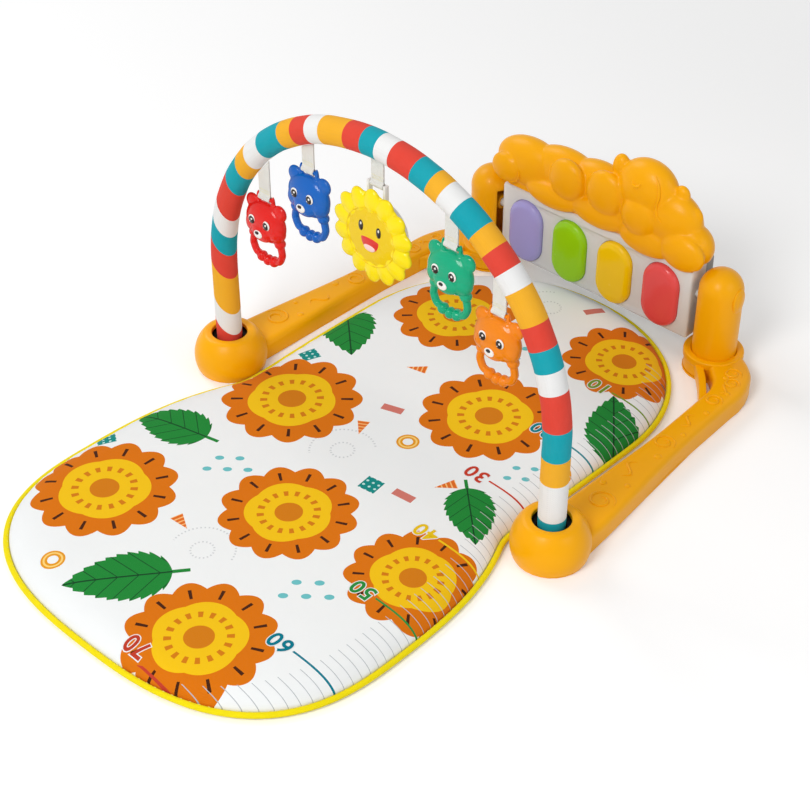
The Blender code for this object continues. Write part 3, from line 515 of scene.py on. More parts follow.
# %% Mat outline
MAT_WIDE_HALF, MAT_WIDE_Y, MAT_FREE_LENGTH, MAT_FREE_POWER = 0.2245, -0.2095, 0.1848, 2.7
MAT_PIANO_HALF, MAT_PIANO_Y, MAT_PIANO_LENGTH, MAT_PIANO_POWER = 0.192, 0.180, 0.189, 2.1
MAT_WAIST_HALF, MAT_WAIST_Y = 0.189, 0.020
BINDING_R, BINDING_Z = 0.003, 0.0042
OUTLINE_POINTS, OUTLINE_ROUNDS = 440, 6
WAIST_POWER, FLARE_POWER = 3, 2.8


def end_curve(half, reach, power, steps=60):
    for i in range(steps):
        angle = math.pi / 2 * (1 - i / steps)
        yield half * math.cos(angle) ** (2 / power), reach * math.sin(angle) ** (2 / power)


def right_edge(steps=30):
    for x, y in end_curve(MAT_PIANO_HALF, MAT_PIANO_LENGTH, MAT_PIANO_POWER):
        yield Vector((x, MAT_PIANO_Y + y))
    for i in range(steps + 1):
        share = 1 - i / steps
        half = MAT_WAIST_HALF + (MAT_PIANO_HALF - MAT_WAIST_HALF) * (1 - (1 - share) ** WAIST_POWER)
        yield Vector((half, MAT_WAIST_Y + (MAT_PIANO_Y - MAT_WAIST_Y) * share))
    for i in range(steps + 1):
        share = 1 - i / steps
        half = MAT_WIDE_HALF - (MAT_WIDE_HALF - MAT_WAIST_HALF) * share ** FLARE_POWER
        yield Vector((half, MAT_WIDE_Y - (MAT_WIDE_Y + MAT_WAIST_Y) * share))
    free = list(end_curve(MAT_WIDE_HALF, MAT_FREE_LENGTH, MAT_FREE_POWER))
    for x, y in reversed(free):
        yield Vector((x, MAT_WIDE_Y - y))


def even_loop(points, count):
    """The same closed line with its points evenly spaced."""
    closed = points + points[:1]
    lengths = [(b - a).length for a, b in zip(closed, closed[1:])]
    step = sum(lengths) / count
    placed, walked, k = [], 0.0, 0
    for i in range(count):
        while walked + lengths[k] < i * step:
            walked += lengths[k]
            k += 1
        placed.append(closed[k].lerp(closed[k + 1], (i * step - walked) / lengths[k]))
    return placed


def mat_edge():
    right = list(right_edge())
    loop = even_loop(right + [Vector((-p.x, p.y)) for p in right[-2:0:-1]], OUTLINE_POINTS)
    for i in range(OUTLINE_ROUNDS):
        loop = [(loop[k - 1] + 2 * p + loop[(k + 1) % len(loop)]) / 4 for k, p in enumerate(loop)]
    return loop


MAT_EDGE = mat_edge()
MAT_INWARD = []
for k, p in enumerate(MAT_EDGE):
    along = (MAT_EDGE[(k + 1) % len(MAT_EDGE)] - MAT_EDGE[k - 1]).normalized()
    MAT_INWARD.append(Vector((along.y, -along.x)))


def mat_row(inset, height):
    """The edge moved inwards, at a height, as a row of points."""
    return [(*(p + inset * d), height) for p, d in zip(MAT_EDGE, MAT_INWARD)]


RIGHT_SIDE = MAT_EDGE[:OUTLINE_POINTS // 2 + 1]


def edge_reach(y):
    """How far out the right edge is, at a place along the mat."""
    for near, far in zip(RIGHT_SIDE, RIGHT_SIDE[1:]):
        if far.y <= y < near.y:
            return near.x + (far.x - near.x) * (near.y - y) / (near.y - far.y)
    return 0.0


print("mat edge:", round(sum((a - b).length for a, b in zip(MAT_EDGE, MAT_EDGE[1:])), 3), "m round")

# %% [markdown]
# ## The mat's print
# White polyester with a summer print: orange flowers, green leaves, drops and small shapes, and along
# one edge a centimetre scale. Each motif is drawn once, in its own small space, and a chain of Mapping
# nodes picks the nearest of its places, so that one more flower costs only five nodes.

# %% Print colours and places
WHITE = srgb(238, 240, 240)
THREAD_CELL = 4200
INKS = {
    "petal": srgb(214, 112, 0), "petal_vein": srgb(66, 28, 4), "heart": srgb(238, 190, 12),
    "seed": srgb(206, 120, 10), "leaf": srgb(26, 130, 50), "leaf_vein": srgb(10, 62, 30),
    "drop": srgb(104, 188, 192), "flight": srgb(206, 208, 210), "ring": srgb(224, 150, 24),
    "ring_line": srgb(247, 206, 120), "bar": srgb(206, 118, 106), "kite": srgb(6, 134, 128),
    "kite_spot": srgb(190, 228, 224), "wedge": srgb(222, 106, 30), "wedge_stripe": srgb(246, 190, 120),
    "tick": srgb(178, 182, 186),
}
# Each place is x, y, a turn in radians and a size
FLOWER_PLACES = (
    (0.085, -0.325, 0.2, 0.072), (-0.140, -0.250, 1.3, 0.074), (0.020, -0.150, 0.7, 0.070),
    (0.172, -0.135, 0.4, 0.066), (-0.110, -0.020, 1.0, 0.075), (0.062, 0.100, 0.1, 0.074),
    (-0.088, 0.215, 0.5, 0.070), (0.105, 0.275, 0.9, 0.068),
)
LEAF_PLACES = (
    (-0.030, -0.325, 0.9, 0.052), (-0.172, -0.135, 0.2, 0.046), (-0.155, 0.112, 2.4, 0.048),
    (0.165, 0.180, -0.9, 0.048), (0.152, -0.030, 2.4, 0.040),
)
DROP_PLACES = ((-0.078, -0.140, 0.7, 0.027), (0.112, -0.215, 0.7, 0.028), (0.010, 0.205, 0.7, 0.028),
               (0.150, 0.055, 0.7, 0.024))
CURL_PLACES = ((-0.010, -0.045, 0.9, 0.034), (-0.020, 0.300, 2.1, 0.034), (0.000, -0.245, 0.3, 0.032))
RING_PLACES = ((-0.095, -0.350, 0, 0.012), (0.030, 0.010, 0, 0.012), (0.170, 0.085, 0, 0.012))
BAR_PLACES = ((-0.020, 0.040, 0.3, 0.012), (0.020, 0.330, 1.1, 0.012), (0.085, -0.055, 0.1, 0.012))
KITE_PLACES = ((-0.155, 0.050, 0.4, 0.014), (0.050, -0.065, 0.9, 0.014), (-0.205, -0.195, 0.2, 0.014))
WEDGE_PLACES = ((-0.022, -0.005, 2.1, 0.012), (0.105, -0.015, 1.0, 0.012), (-0.050, 0.110, 0.5, 0.012),
                (-0.045, -0.232, 2.9, 0.012))
SCALE_ZERO_Y, SHORT_TICK, LONG_TICK = 0.3205, 0.036, 0.058
SCALE_COLOURS = (srgb(120, 150, 40), srgb(0, 128, 140), srgb(200, 60, 40), srgb(235, 195, 20),
                 srgb(40, 140, 60), srgb(0, 120, 140), srgb(190, 60, 40))
print("flowers:", len(FLOWER_PLACES), "leaves:", len(LEAF_PLACES), "inks:", len(INKS))


# %% Mat fabric
class MatFabric(Finish):
    """The printed cover."""

    def nearest(self, flat, places):
        """Position inside the nearest motif, whose size there is 1."""
        best, found = None, None
        for x, y, turn, size in places:
            sockets = {"Vector": flat, "Location": (x, y, 0), "Rotation": (0, 0, turn)}
            sockets["Scale"] = (size, size, size)
            local = self.node("ShaderNodeMapping", {"vector_type": "TEXTURE"}, sockets)
            away = self.node("ShaderNodeVectorMath", {"operation": "LENGTH"}, {0: local}, "Value")
            if found is None:
                best, found = away, local
                continue
            closer = away < best
            found = self.node("ShaderNodeMix", {"data_type": "VECTOR"}, {0: closer, 4: found, 5: local}, 1)
            best = best & away
        x, y, z = self.axes(found)
        return x, y, best

    def ink(self, colour, name, mask):
        return self.mix(colour, INKS[name], mask)

    def flowers(self, colour, flat):
        """Twelve petals round a heart with a ring of seeds. Sizes are shares of the flower's own."""
        x, y, r = self.nearest(flat, FLOWER_PLACES)
        angle = self.node("ShaderNodeMath", {"operation": "ARCTAN2"}, {0: y, 1: x})
        lobes = abs((angle * 6).sin())
        petals = r < lobes * 0.13 + 0.87
        vein = (lobes > 0.985) & (abs(r - 0.78) < 0.085)
        colour = self.ink(colour, "petal", petals)
        colour = self.ink(colour, "petal_vein", vein)
        heart = r < abs((angle * 2.5).sin()) * 0.05 + 0.58
        colour = self.ink(colour, "heart", heart)
        seeds = (abs((angle * 8).sin()) > 0.8) & (abs(r - 0.4) < 0.05)
        return self.ink(colour, "seed", seeds | (r < 0.2))

    def leaves(self, colour, flat):
        """A plain toothed leaf: pointed at -1 and round at its stem at +1."""
        x, y, r = self.nearest(flat, LEAF_PLACES)
        side = abs(y)
        teeth = (x * 5).fraction() * 0.07
        half = (x + 1) ** 0.9 * (1 - x) ** 0.5 * 0.62 - teeth
        blade = (side < half) & (abs(x) < 1)
        stem = (abs(x - 1.0) < 0.32) & (side < 0.045)
        vein = ((((x + side * 0.9) * 2.6).fraction() < 0.06) | (side < 0.018)) & blade
        colour = self.ink(colour, "leaf", blade | stem)
        return self.ink(colour, "leaf_vein", vein)

    def drops(self, colour, flat):
        """Rows of ovals, each row shifted by half. A drop shows only if its middle is near enough."""
        x, y, r = self.nearest(flat, DROP_PLACES)
        row = (y * 1.5).floor()
        shifted = x * 1.3 + row * 0.5
        middle_x = (shifted.floor() + 0.5 - row * 0.5) / 1.3
        middle_y = (row + 0.5) / 1.5
        across, up = shifted.fraction() - 0.5, (y * 1.5).fraction() - 0.5
        dot = across * across / 0.050 + up * up / 0.036 < 1
        near = middle_x * middle_x + middle_y * middle_y < 0.9
        return self.ink(colour, "drop", dot & near)

    def curls(self, colour, flat):
        """Faint dotted flight lines: a small loop and a wide arc."""
        x, y, r = self.nearest(flat, CURL_PLACES)
        angle = self.node("ShaderNodeMath", {"operation": "ARCTAN2"}, {0: y, 1: x})
        loop = (abs(r - 0.36) < 0.032) & ((angle * 3).fraction() < 0.4)
        sweep = (abs(r - 1) < 0.032) & ((angle * 8).fraction() < 0.4) & (y > 0)
        return self.ink(colour, "flight", loop | sweep)

    def trinkets(self, colour, flat):
        """Small rings, bars, spotted kites and striped wedges."""
        x, y, r = self.nearest(flat, RING_PLACES)
        colour = self.ink(colour, "ring", (r < 1) & (r > 0.45))
        colour = self.ink(colour, "ring_line", abs(r - 0.74) < 0.08)
        x, y, r = self.nearest(flat, BAR_PLACES)
        colour = self.ink(colour, "bar", (abs(x) < 1) & (abs(y) < 0.42))
        x, y, r = self.nearest(flat, KITE_PLACES)
        kite = abs(x) + abs(y) < 1
        spot = ((x * 9).sin() * (y * 9).sin() > 0.6) & kite
        colour = self.ink(self.ink(colour, "kite", kite), "kite_spot", spot)
        x, y, r = self.nearest(flat, WEDGE_PLACES)
        wedge = (abs(y) < (x + 1) * 0.3) & (x < 0.9) & (x > -1)
        stripe = ((x * 2.4).fraction() < 0.3) & wedge
        return self.ink(self.ink(colour, "wedge", wedge), "wedge_stripe", stripe)

    def scale(self, colour, x, y, edge):
        """Centimetre ticks along the right edge, with a long coloured one every ten."""
        run = (SCALE_ZERO_Y - y) * 100
        on_right = (x > 0) & (run > 2.5) & (run < 71)
        tick = (abs(run.fraction() - 0.5) > 0.463) & (edge < SHORT_TICK)
        colour = self.ink(colour, "tick", tick & on_right)
        tens = run / 10
        long_tick = (abs((tens + 0.5).fraction() - 0.5) < 0.011) & (edge < LONG_TICK)
        count = len(SCALE_COLOURS)
        stops = [(i / count, c) for i, c in enumerate(SCALE_COLOURS)]
        hue = self.node("ShaderNodeValToRGB", {"stops": stops}, {0: (tens - 0.5) / count})
        return self.mix(colour, hue, long_tick & on_right & (run > 9))


def mat_cover():
    made = MatFabric("mat_cover", {"Sheen Weight": 0.03, "Specular IOR Level": 0.08})
    place = made.place()
    flat = made.node("ShaderNodeVectorMath", {"operation": "MULTIPLY"}, {0: place, 1: (1, 1, 0)})
    x, y, z = made.axes(place)
    edge = made.node("ShaderNodeAttribute", {"attribute_name": "along"}, output="Fac")
    cloth = made.mix(shade(WHITE, 0.97), WHITE, made.noise(24, 3))
    cloth = made.curls(cloth, flat)
    cloth = made.drops(cloth, flat)
    cloth = made.trinkets(cloth, flat)
    cloth = made.leaves(cloth, flat)
    cloth = made.flowers(cloth, flat)
    cloth = made.scale(cloth, x, y, edge)
    thread = made.weave(x, y, THREAD_CELL)
    # Where the weave dips the cloth is a little darker: painted shade in its hollows
    made.set("Base Color", made.mix(cloth, shade(WHITE, 0.6), (thread < -0.6) * 0.05))
    made.set("Roughness", 0.78 + made.noise(300, 2) * 0.12)
    made.bump(thread * 0.5 + made.noise(900, 2), 0.3, 0.0003)
    return made


cover_fabric = mat_cover()
print("mat cover:", len(cover_fabric.tree.nodes), "nodes")

# %% [markdown]
# ## The padded mat
# Filling pushes the cover up fast near the sewn edge and almost level in the middle. The edge is caught
# in the seam, so small tucks run inwards from it and die out within a couple of centimetres. Rows are
# extruded inwards from the edge, and each point keeps its distance from the right edge for the scale.

# %% Padded mat
PAD_INSET = 2 * BINDING_R + 0.0003
PAD_SIDE, PAD_RISE = 0.0065, 0.0175
ROWS = (0.0006, 0.0014, 0.0026, 0.0042, 0.0062, 0.0088, 0.012, 0.016, 0.021, 0.027, 0.034, 0.042, 0.051,
        0.061, 0.072, 0.085)
PAD_MIDDLE, INNER_SHARES = Vector((0, -0.02, 0)), (0.86, 0.72, 0.58, 0.44, 0.3, 0.17, 0.06)
UNDER_INSET, UNDER_EDGE = 0.002, 0.0025
CROWN_REACH, CROWN_POWER = 0.012, 0.85
TUCKS, TUCK_DEPTH, TUCK_REACH, TUCK_START = 150, 0.0011, 0.011, 0.002
SWELL, SWELL_CELL, SWELL_REACH = 0.0007, 11, 0.03


def pad_height(inset):
    return PAD_SIDE + PAD_RISE * (1 - math.exp(-((inset / CROWN_REACH) ** CROWN_POWER)))


def uneven(x, y):
    return noise.noise(Vector((x, y, 0)) * SWELL_CELL) * SWELL


def stitched_row(inset):
    """A row on the cover, with tucks near the seam and a gentle unevenness further in."""
    row = []
    for k, (x, y, z) in enumerate(mat_row(PAD_INSET + inset, pad_height(inset))):
        turn = 2 * math.pi * k / OUTLINE_POINTS
        where = Vector((math.cos(turn), math.sin(turn), 0)) * TUCKS / (2 * math.pi)
        tuck = noise.noise(where) * TUCK_DEPTH * math.exp(-inset / TUCK_REACH) * min(1, inset / TUCK_START)
        swell = uneven(x, y) * (1 - math.exp(-inset / SWELL_REACH))
        row.append((x, y, z + tuck + swell))
    return row


def build_mat():
    rings = [mat_row(PAD_INSET + UNDER_INSET, 0.0)]
    rings += [mat_row(PAD_INSET, height) for height in (UNDER_EDGE, PAD_SIDE)]
    rings += [stitched_row(inset) for inset in ROWS]
    last = rings[-1]
    for share in INNER_SHARES:
        row = []
        for point in last:
            x, y, z = PAD_MIDDLE + (Vector(point) - PAD_MIDDLE) * share
            row.append((x, y, pad_height(ROWS[-1]) + uneven(x, y)))
        rings.append(row)
    bm = lofted(rings)
    inwards = bm.verts.layers.float.new("along")
    for vert in bm.verts:
        vert[inwards] = edge_reach(vert.co.y) - vert.co.x
    return bm


mat = piece("mat_pad_soft", build_mat(), cover_fabric, "base", "mat_fabric", ["mat_pad"], 80)


# %% [markdown]
# ## Binding and its stitches
# A folded yellow tape closes the mat's edge, and one row of lockstitch holds it. The tape is the edge
# carried round a small oval. Each stitch is a thin ellipsoid that dips into the tape at both ends.

# %% Binding
TAPE_PINCH = 0.92
STITCH_LONG, STITCH_WIDE, STITCH_HIGH = 0.0026, 0.0004, 0.00035
STITCH_INSET, STITCH_LIFT = 0.0046, 0.0027


def tape_finish(name, colour, cell):
    made = Finish(name, {"Sheen Weight": 0.04, "Specular IOR Level": 0.1})
    x, y, z = made.axes()
    twill = made.weave(x + y + z, x - y + z, cell)
    worn = made.noise(120, 3)
    cloth = made.mix(shade(colour, 0.9), shade(colour, 1.03), worn)
    # The low lines of the twill are darker: painted shade in its hollows
    made.set("Base Color", made.mix(cloth, shade(colour, 0.8), (twill < -0.35) * 0.3))
    made.set("Roughness", 0.74 + worn * 0.14)
    made.bump(twill, 0.5, 0.0002)
    return made


tape = tape_finish("binding_tape", srgb(246, 226, 14), 3600)
pale_thread = tape_finish("stitch_thread", srgb(240, 226, 120), 9000)


def full_turn(count):
    return [2 * math.pi * i / count for i in range(count)]


def build_binding(steps=16):
    rings = []
    for angle in full_turn(steps):
        pinch = TAPE_PINCH if math.cos(angle) > 0 else 1.0
        inset = BINDING_R * (1 - math.cos(angle))
        rings.append(mat_row(inset, BINDING_Z + BINDING_R * pinch * math.sin(angle)))
    return lofted(rings, shut=True)


def build_stitches():
    """A stitch on every second step of the edge."""
    bm = bmesh.new()
    row = mat_row(STITCH_INSET, BINDING_Z + STITCH_LIFT)
    for k in range(0, len(row), 2):
        here, ahead = Vector(row[k]), Vector(row[(k + 1) % len(row)])
        turn = (ahead - here).to_track_quat("X", "Z").to_matrix().to_4x4()
        place = Matrix.Translation((here + ahead) / 2) @ turn
        size = Matrix.Diagonal((STITCH_LONG / 2, STITCH_WIDE, STITCH_HIGH, 1))
        bmesh.ops.create_uvsphere(bm, u_segments=6, v_segments=5, radius=1, matrix=place @ size)
    return bm


piece("mat_binding_tape", build_binding(), tape, "base", "binding_yellow", ["mat_binding"], 80)
piece("binding_stitches", build_stitches(), pale_thread, "base", "binding_yellow")

# %% [markdown]
# ## Numbers on the scale
# Plain figures stand at the inner end of each long tick. Shader maths would need a formula for each
# figure, so Blender's own are turned into a mesh instead. They are laid on the cover by dropping each
# corner onto it, lifted by a hair and given the thickness of ink, with a white film under a coloured one.

# %% Scale numbers
def print_finish(name, colour):
    made = Finish(name, {"Sheen Weight": 0.03, "Specular IOR Level": 0.08})
    x, y, z = made.axes()
    thread = made.weave(x, y, THREAD_CELL)
    made.set("Base Color", made.mix(shade(colour, 0.88), colour, made.noise(500, 2)))
    made.set("Roughness", 0.74 + made.noise(300, 2) * 0.12)
    made.bump(thread, 0.3, 0.0003)
    return made


UP = Vector((0, 0, 1))
FREE_END, END_ROOM, DROP_FROM = -0.394, 0.026, 0.2
FIGURE_SIZE, FIGURE_SPACE, FIGURE_INSET = 0.024, 1.12, 0.061
INK, MERGE = 0.00015, 1e-6
# How much heavier the figures are, and how far they lie over the cover
WHITE_FILM, COLOUR_FILM = (0.0015, 0.0002), (0.0005, 0.0004)


def taken(work):
    """An object's final shape as a bmesh. The object itself goes."""
    graph = bpy.context.evaluated_depsgraph_get()
    result = bpy.data.meshes.new_from_object(work.evaluated_get(graph))
    bm = bmesh.new()
    bm.from_mesh(result)
    bpy.data.objects.remove(work)
    bpy.data.meshes.remove(result)
    return bm


def figures(number, weight):
    """Blender's own figures as a flat mesh, cut finely enough to follow the cover."""
    words = bpy.data.curves.new("figures", "FONT")
    words.body = str(number)
    words.size = FIGURE_SIZE
    words.offset = weight
    words.space_character = FIGURE_SPACE
    words.align_x = "LEFT"
    words.align_y = "CENTER"
    words.resolution_u = 4
    holder = bpy.data.objects.new("figures", words)
    scene.collection.objects.link(holder)
    bm = taken(holder)
    bpy.data.curves.remove(words)
    bmesh.ops.remove_doubles(bm, verts=bm.verts, dist=MERGE)
    bmesh.ops.triangulate(bm, faces=bm.faces)
    bmesh.ops.subdivide_edges(bm, edges=bm.edges, cuts=1)
    return bm


def ink_film(number, weight, lift):
    """A number that reads from the piano's end, laid on the cover. The last one stays on the mat."""
    bm = figures(number, weight)
    y = SCALE_ZERO_Y - number / 100
    place = Matrix.Translation((edge_reach(y) - FIGURE_INSET, max(y, FREE_END + END_ROOM), 0))
    place = place @ Matrix.Rotation(math.pi, 4, "Z")
    bmesh.ops.transform(bm, matrix=place, verts=bm.verts)
    for vert in bm.verts:
        above = Vector((vert.co.x, vert.co.y, DROP_FROM))
        hit, spot, normal, index = mat.ray_cast(above, -UP)
        if hit:
            vert.co = spot + normal * lift
    bmesh.ops.solidify(bm, geom=bm.faces, thickness=INK)
    return bm


scale_white = print_finish("scale_white", WHITE)
for k, colour in enumerate(SCALE_COLOURS):
    number = 10 * (k + 1)
    ink = print_finish(f"scale_ink_{number}", colour)
    piece(f"scale_border_{number}", ink_film(number, *WHITE_FILM), scale_white, "base", "mat_fabric")
    piece(f"scale_{number}", ink_film(number, *COLOUR_FILM), ink, "base", "mat_fabric")


# %% [markdown]
# ## The striped sleeve
# A foam tube in a knitted cover goes over the arch. Its red, white, yellow and teal stripes come in a
# set of twelve. The knit lies evenly over the top and is stretched on both legs, so stripes are wider
# there. Each ring of the sleeve carries its place in the set, and a ramp turns that into colour.

# %% Arch line and stripes
ARCH_R, ARCH_LEG = 0.228, 0.135
ARCH_LENGTH = 2 * ARCH_LEG + math.pi * ARCH_R
SLEEVE_R, SLEEVE_FOOT, SLEEVE_BORE, SLEEVE_AROUND = 0.014, 0.0364, 0.0065, 44
FOAM_UNEVEN, FOAM_CELL, FOAM_ROOM = 0.00035, 42, 0.0001
RED, CREAM, SUN, TEAL = srgb(222, 66, 50), srgb(234, 234, 233), srgb(240, 174, 34), srgb(0, 160, 174)
# Widths are in millimetres of unstretched knit
STRIPES = ((RED, 21), (CREAM, 20), (SUN, 32), (RED, 22), (TEAL, 19), (CREAM, 17), (RED, 28), (TEAL, 20),
           (SUN, 16), (CREAM, 19), (TEAL, 28), (SUN, 21))
STRIPE_SET = sum(width for colour, width in STRIPES) / 1000
EVEN_FROM, EVEN_TO = 0.365, 0.70
FIRST_RED, LEFT_STRETCH, RIGHT_STRETCH = 0.005, 0.72, 1.3
STRIPE_LEAN, LEAN_END, LEAN_FADE = 0.9, 0.36, 0.16
COURSE_CELL, WALE_CELL = 1500, 3400
BACKWARD = Vector((0, 1, 0))


def arch_spot(walk):
    """Centre and direction at a distance along the arch from its left foot."""
    if walk < ARCH_LEG:
        return Vector((-ARCH_R, 0, walk)), UP
    bend = (walk - ARCH_LEG) / ARCH_R
    if bend < math.pi:
        place = Vector((-ARCH_R * math.cos(bend), 0, ARCH_LEG + ARCH_R * math.sin(bend)))
        return place, Vector((math.sin(bend), 0, math.cos(bend)))
    return Vector((ARCH_R, 0, ARCH_LEG - (walk - ARCH_LEG - math.pi * ARCH_R))), -UP


def stripe_mark(walk):
    """Place in the stripe sets: even over the top, drawn out on the legs, and more so down the right."""
    left = min(walk, EVEN_FROM) - SLEEVE_FOOT
    top = max(0.0, min(walk, EVEN_TO) - EVEN_FROM)
    right = max(0.0, walk - EVEN_TO)
    knit = FIRST_RED + left * LEFT_STRETCH + top + right - RIGHT_STRETCH * right ** 2
    return knit / STRIPE_SET + 1


def stripe_ring(walk):
    """Marks round one ring. On the left leg the cover is twisted a little, so its stripes lean."""
    lean = STRIPE_LEAN * SLEEVE_R * max(0.0, min(1.0, (LEAN_END - walk) / LEAN_FADE))
    return [stripe_mark(walk + lean * math.cos(angle)) for angle in full_turn(SLEEVE_AROUND)]


print("arch:", round(ARCH_LENGTH, 3), "m long, one set of stripes:", round(STRIPE_SET, 3), "m")


# %% Sleeve
def sleeve_ring(walk, radius, soft):
    centre, along = arch_spot(walk)
    side = Vector((along.z, 0, -along.x))
    ring = []
    for angle in full_turn(SLEEVE_AROUND):
        out = side * math.cos(angle) + BACKWARD * math.sin(angle)
        bulge = noise.noise((centre + out * radius) * FOAM_CELL) * soft
        ring.append(centre + out * (radius + bulge))
    return ring


def build_sleeve(steps=170):
    walks = [SLEEVE_FOOT + (ARCH_LENGTH - 2 * SLEEVE_FOOT) * i / steps for i in range(steps + 1)]
    rings = [sleeve_ring(walk, SLEEVE_R - FOAM_ROOM, FOAM_UNEVEN) for walk in walks]
    inner = [sleeve_ring(walk, SLEEVE_BORE, 0.0) for walk in reversed(walks)]
    marks = [stripe_ring(walk) for walk in walks]
    return lofted(rings + inner, marks + marks[::-1], shut=True)


def sleeve_knit():
    made = Finish("sleeve_knit", {"Sheen Weight": 0.03, "Specular IOR Level": 0.12})
    mark = made.node("ShaderNodeAttribute", {"attribute_name": "along"}, output="Fac")
    stops, place = [], 0.0
    for colour, width in STRIPES:
        stops.append((place, colour))
        place += width / 1000 / STRIPE_SET
    share = mark.fraction()
    colour = made.node("ShaderNodeValToRGB", {"stops": stops}, {0: share})
    x, y, z = made.axes()
    course = (mark * COURSE_CELL).sin()
    wale = (y * WALE_CELL).sin()
    worn = made.noise(90, 3)
    cloth = made.mix(colour, (0.9, 0.9, 0.9, 1), worn * 0.02)
    # Where the knit dips, a dark tint is mixed in: painted shade in its hollows
    made.set("Base Color", made.mix(cloth, (0.12, 0.10, 0.10, 1), (course * wale < -0.55) * 0.07))
    made.set("Roughness", 0.72 + worn * 0.14)
    made.bump(course * wale * 0.5 + made.noise(700, 2) * 0.5, 0.4, 0.0003)
    return made


knit = sleeve_knit()
sleeve = piece("arch_sleeve_soft", build_sleeve(), knit, "arch", "sleeve_fabric", ["arch_sleeve"], 60)


# %% [markdown]
# ## Spun and mirrored shapes
# Round mouldings are turned like wood on a lathe: a profile of radius and height is spun about an axis.
# A moulding has no sharp corners, so the profile's corners are rounded first. The two sides of the frame
# are alike, so each piece is made for the right side and mirrored for the left.

# %% Spinning and mirroring
# A rounded corner takes up less than half of each line beside it
CORNER_SHARE = 0.45


def turned(profile, steps=64):
    """A profile of (radius, height) points spun about Z. It may start and end on the axis."""
    bm = bmesh.new()
    verts = [bm.verts.new((radius, 0, height)) for radius, height in profile]
    edges = [bm.edges.new(pair) for pair in zip(verts, verts[1:])]
    bmesh.ops.spin(
        bm, geom=verts + edges, cent=(0, 0, 0), axis=(0, 0, 1), angle=2 * math.pi, steps=steps,
        use_merge=True,
    )
    bmesh.ops.remove_doubles(bm, verts=bm.verts, dist=MERGE)
    bmesh.ops.recalc_face_normals(bm, faces=bm.faces)
    return bm


def bowed(start, bend, end, t):
    """A point on the arc from start to end that leans towards bend."""
    return (1 - t) ** 2 * start + 2 * t * (1 - t) * bend + t * t * end


def rounded(profile, radius, steps=5):
    """The same open profile with each inner corner rounded."""
    done = [Vector(profile[0])]
    for before, corner, after in zip(profile, profile[1:], profile[2:]):
        before, corner, after = Vector(before), Vector(corner), Vector(after)
        shortest = min((before - corner).length, (after - corner).length)
        reach = min(radius, shortest * CORNER_SHARE)
        start = corner + (before - corner).normalized() * reach
        end = corner + (after - corner).normalized() * reach
        done += [bowed(start, corner, end, i / steps) for i in range(steps + 1)]
    done.append(Vector(profile[-1]))
    return [tuple(point) for point in done]


def moved(bm, vector):
    bmesh.ops.translate(bm, vec=Vector(vector), verts=bm.verts)
    return bm


def mirrored(bm):
    """The same shape for the other side of the toy."""
    bmesh.ops.scale(bm, vec=(-1, 1, 1), verts=bm.verts)
    bmesh.ops.reverse_faces(bm, faces=bm.faces)
    return bm


def on_both_sides(*parts):
    """Pieces of the right side, and then their mirror images on the left."""
    for word in ("right", "left"):
        for part, build, finish, slot, gone, crease in parts:
            shape = build() if word == "right" else mirrored(build())
            replaced = [f"{word}_{gone}"] if gone else ()
            piece(f"{word}_{part}", shape, finish, "base", slot, replaced, crease)


print("spinning helpers ready")

# %% [markdown]
# ## Feet
# Each side of the frame has a dome whose mouth takes the arch's foot, with a dark cup inside it that is
# painted shade for the shadow in the mouth. Both are round, so each is one spun profile: down over the
# outside and up again inside, so that the wall has its real thickness.

# %% Domes
DOME_X, DOME_R, DOME_Z, DOME_TOP, DOME_WALL = 0.228, 0.040, 0.016, 0.045, 0.003
MOUTH_R, FLOOR_GAP = 0.0195, 0.0023
# Radius and height of each corner, from the mouth's inner edge over its lip to the dome
LIP = ((MOUTH_R, 0.0405), (MOUTH_R, DOME_TOP), (MOUTH_R + 0.006, DOME_TOP), (0.0292, 0.0434))
LIP_EDGE = 0.0016
# Radius and height of each corner of the dark cup, painted shade inside the dome's mouth
MOUTH_SHADE = ((0.0152, 0.0362), (0.0300, 0.0340), (0.0350, 0.0230), (0.0335, 0.0225), (0.0285, 0.0325),
         (0.0152, 0.0345), (0.0152, 0.0362))


def arc(centre_z, radius, start, end, steps):
    points = []
    for i in range(steps + 1):
        angle = math.radians(start + (end - start) * i / steps)
        points.append((radius * math.cos(angle), centre_z + radius * math.sin(angle)))
    return points


def low_angle(radius):
    """Where a skin of the dome ends above the floor, in degrees."""
    return math.degrees(math.asin((FLOOR_GAP - DOME_Z) / radius))


def build_dome():
    """Lip, outer skin from 42 degrees down, and inner skin up to 38 degrees."""
    inner = DOME_R - DOME_WALL
    profile = rounded(LIP, LIP_EDGE) + arc(DOME_Z, DOME_R, 42, low_angle(DOME_R), 26)
    profile += arc(DOME_Z, inner, low_angle(inner), 38, 16)
    profile.append(profile[0])
    return moved(turned(profile, 72), (DOME_X, 0, 0))


def build_liner():
    """A dark cup just inside the dome's mouth, round the arch's foot: painted shade for its shadow."""
    return moved(turned(MOUTH_SHADE, 48), (DOME_X, 0, 0))


on_both_sides(
    ("dome", build_dome, yellow_plastic, "frame_yellow", "foot_dome", 50),
    ("dome_mouth_shade", build_liner, black_plastic_and_shade, "speaker_black", None, 35),
)

# %% [markdown]
# ## Arms
# A long flat arm runs from each dome to the piano. It narrows to a neck and then bends inwards at an
# elbow, so a straight extrusion can't make it. One rounded section is carried along the bent line
# instead, and its half width changes on the way.

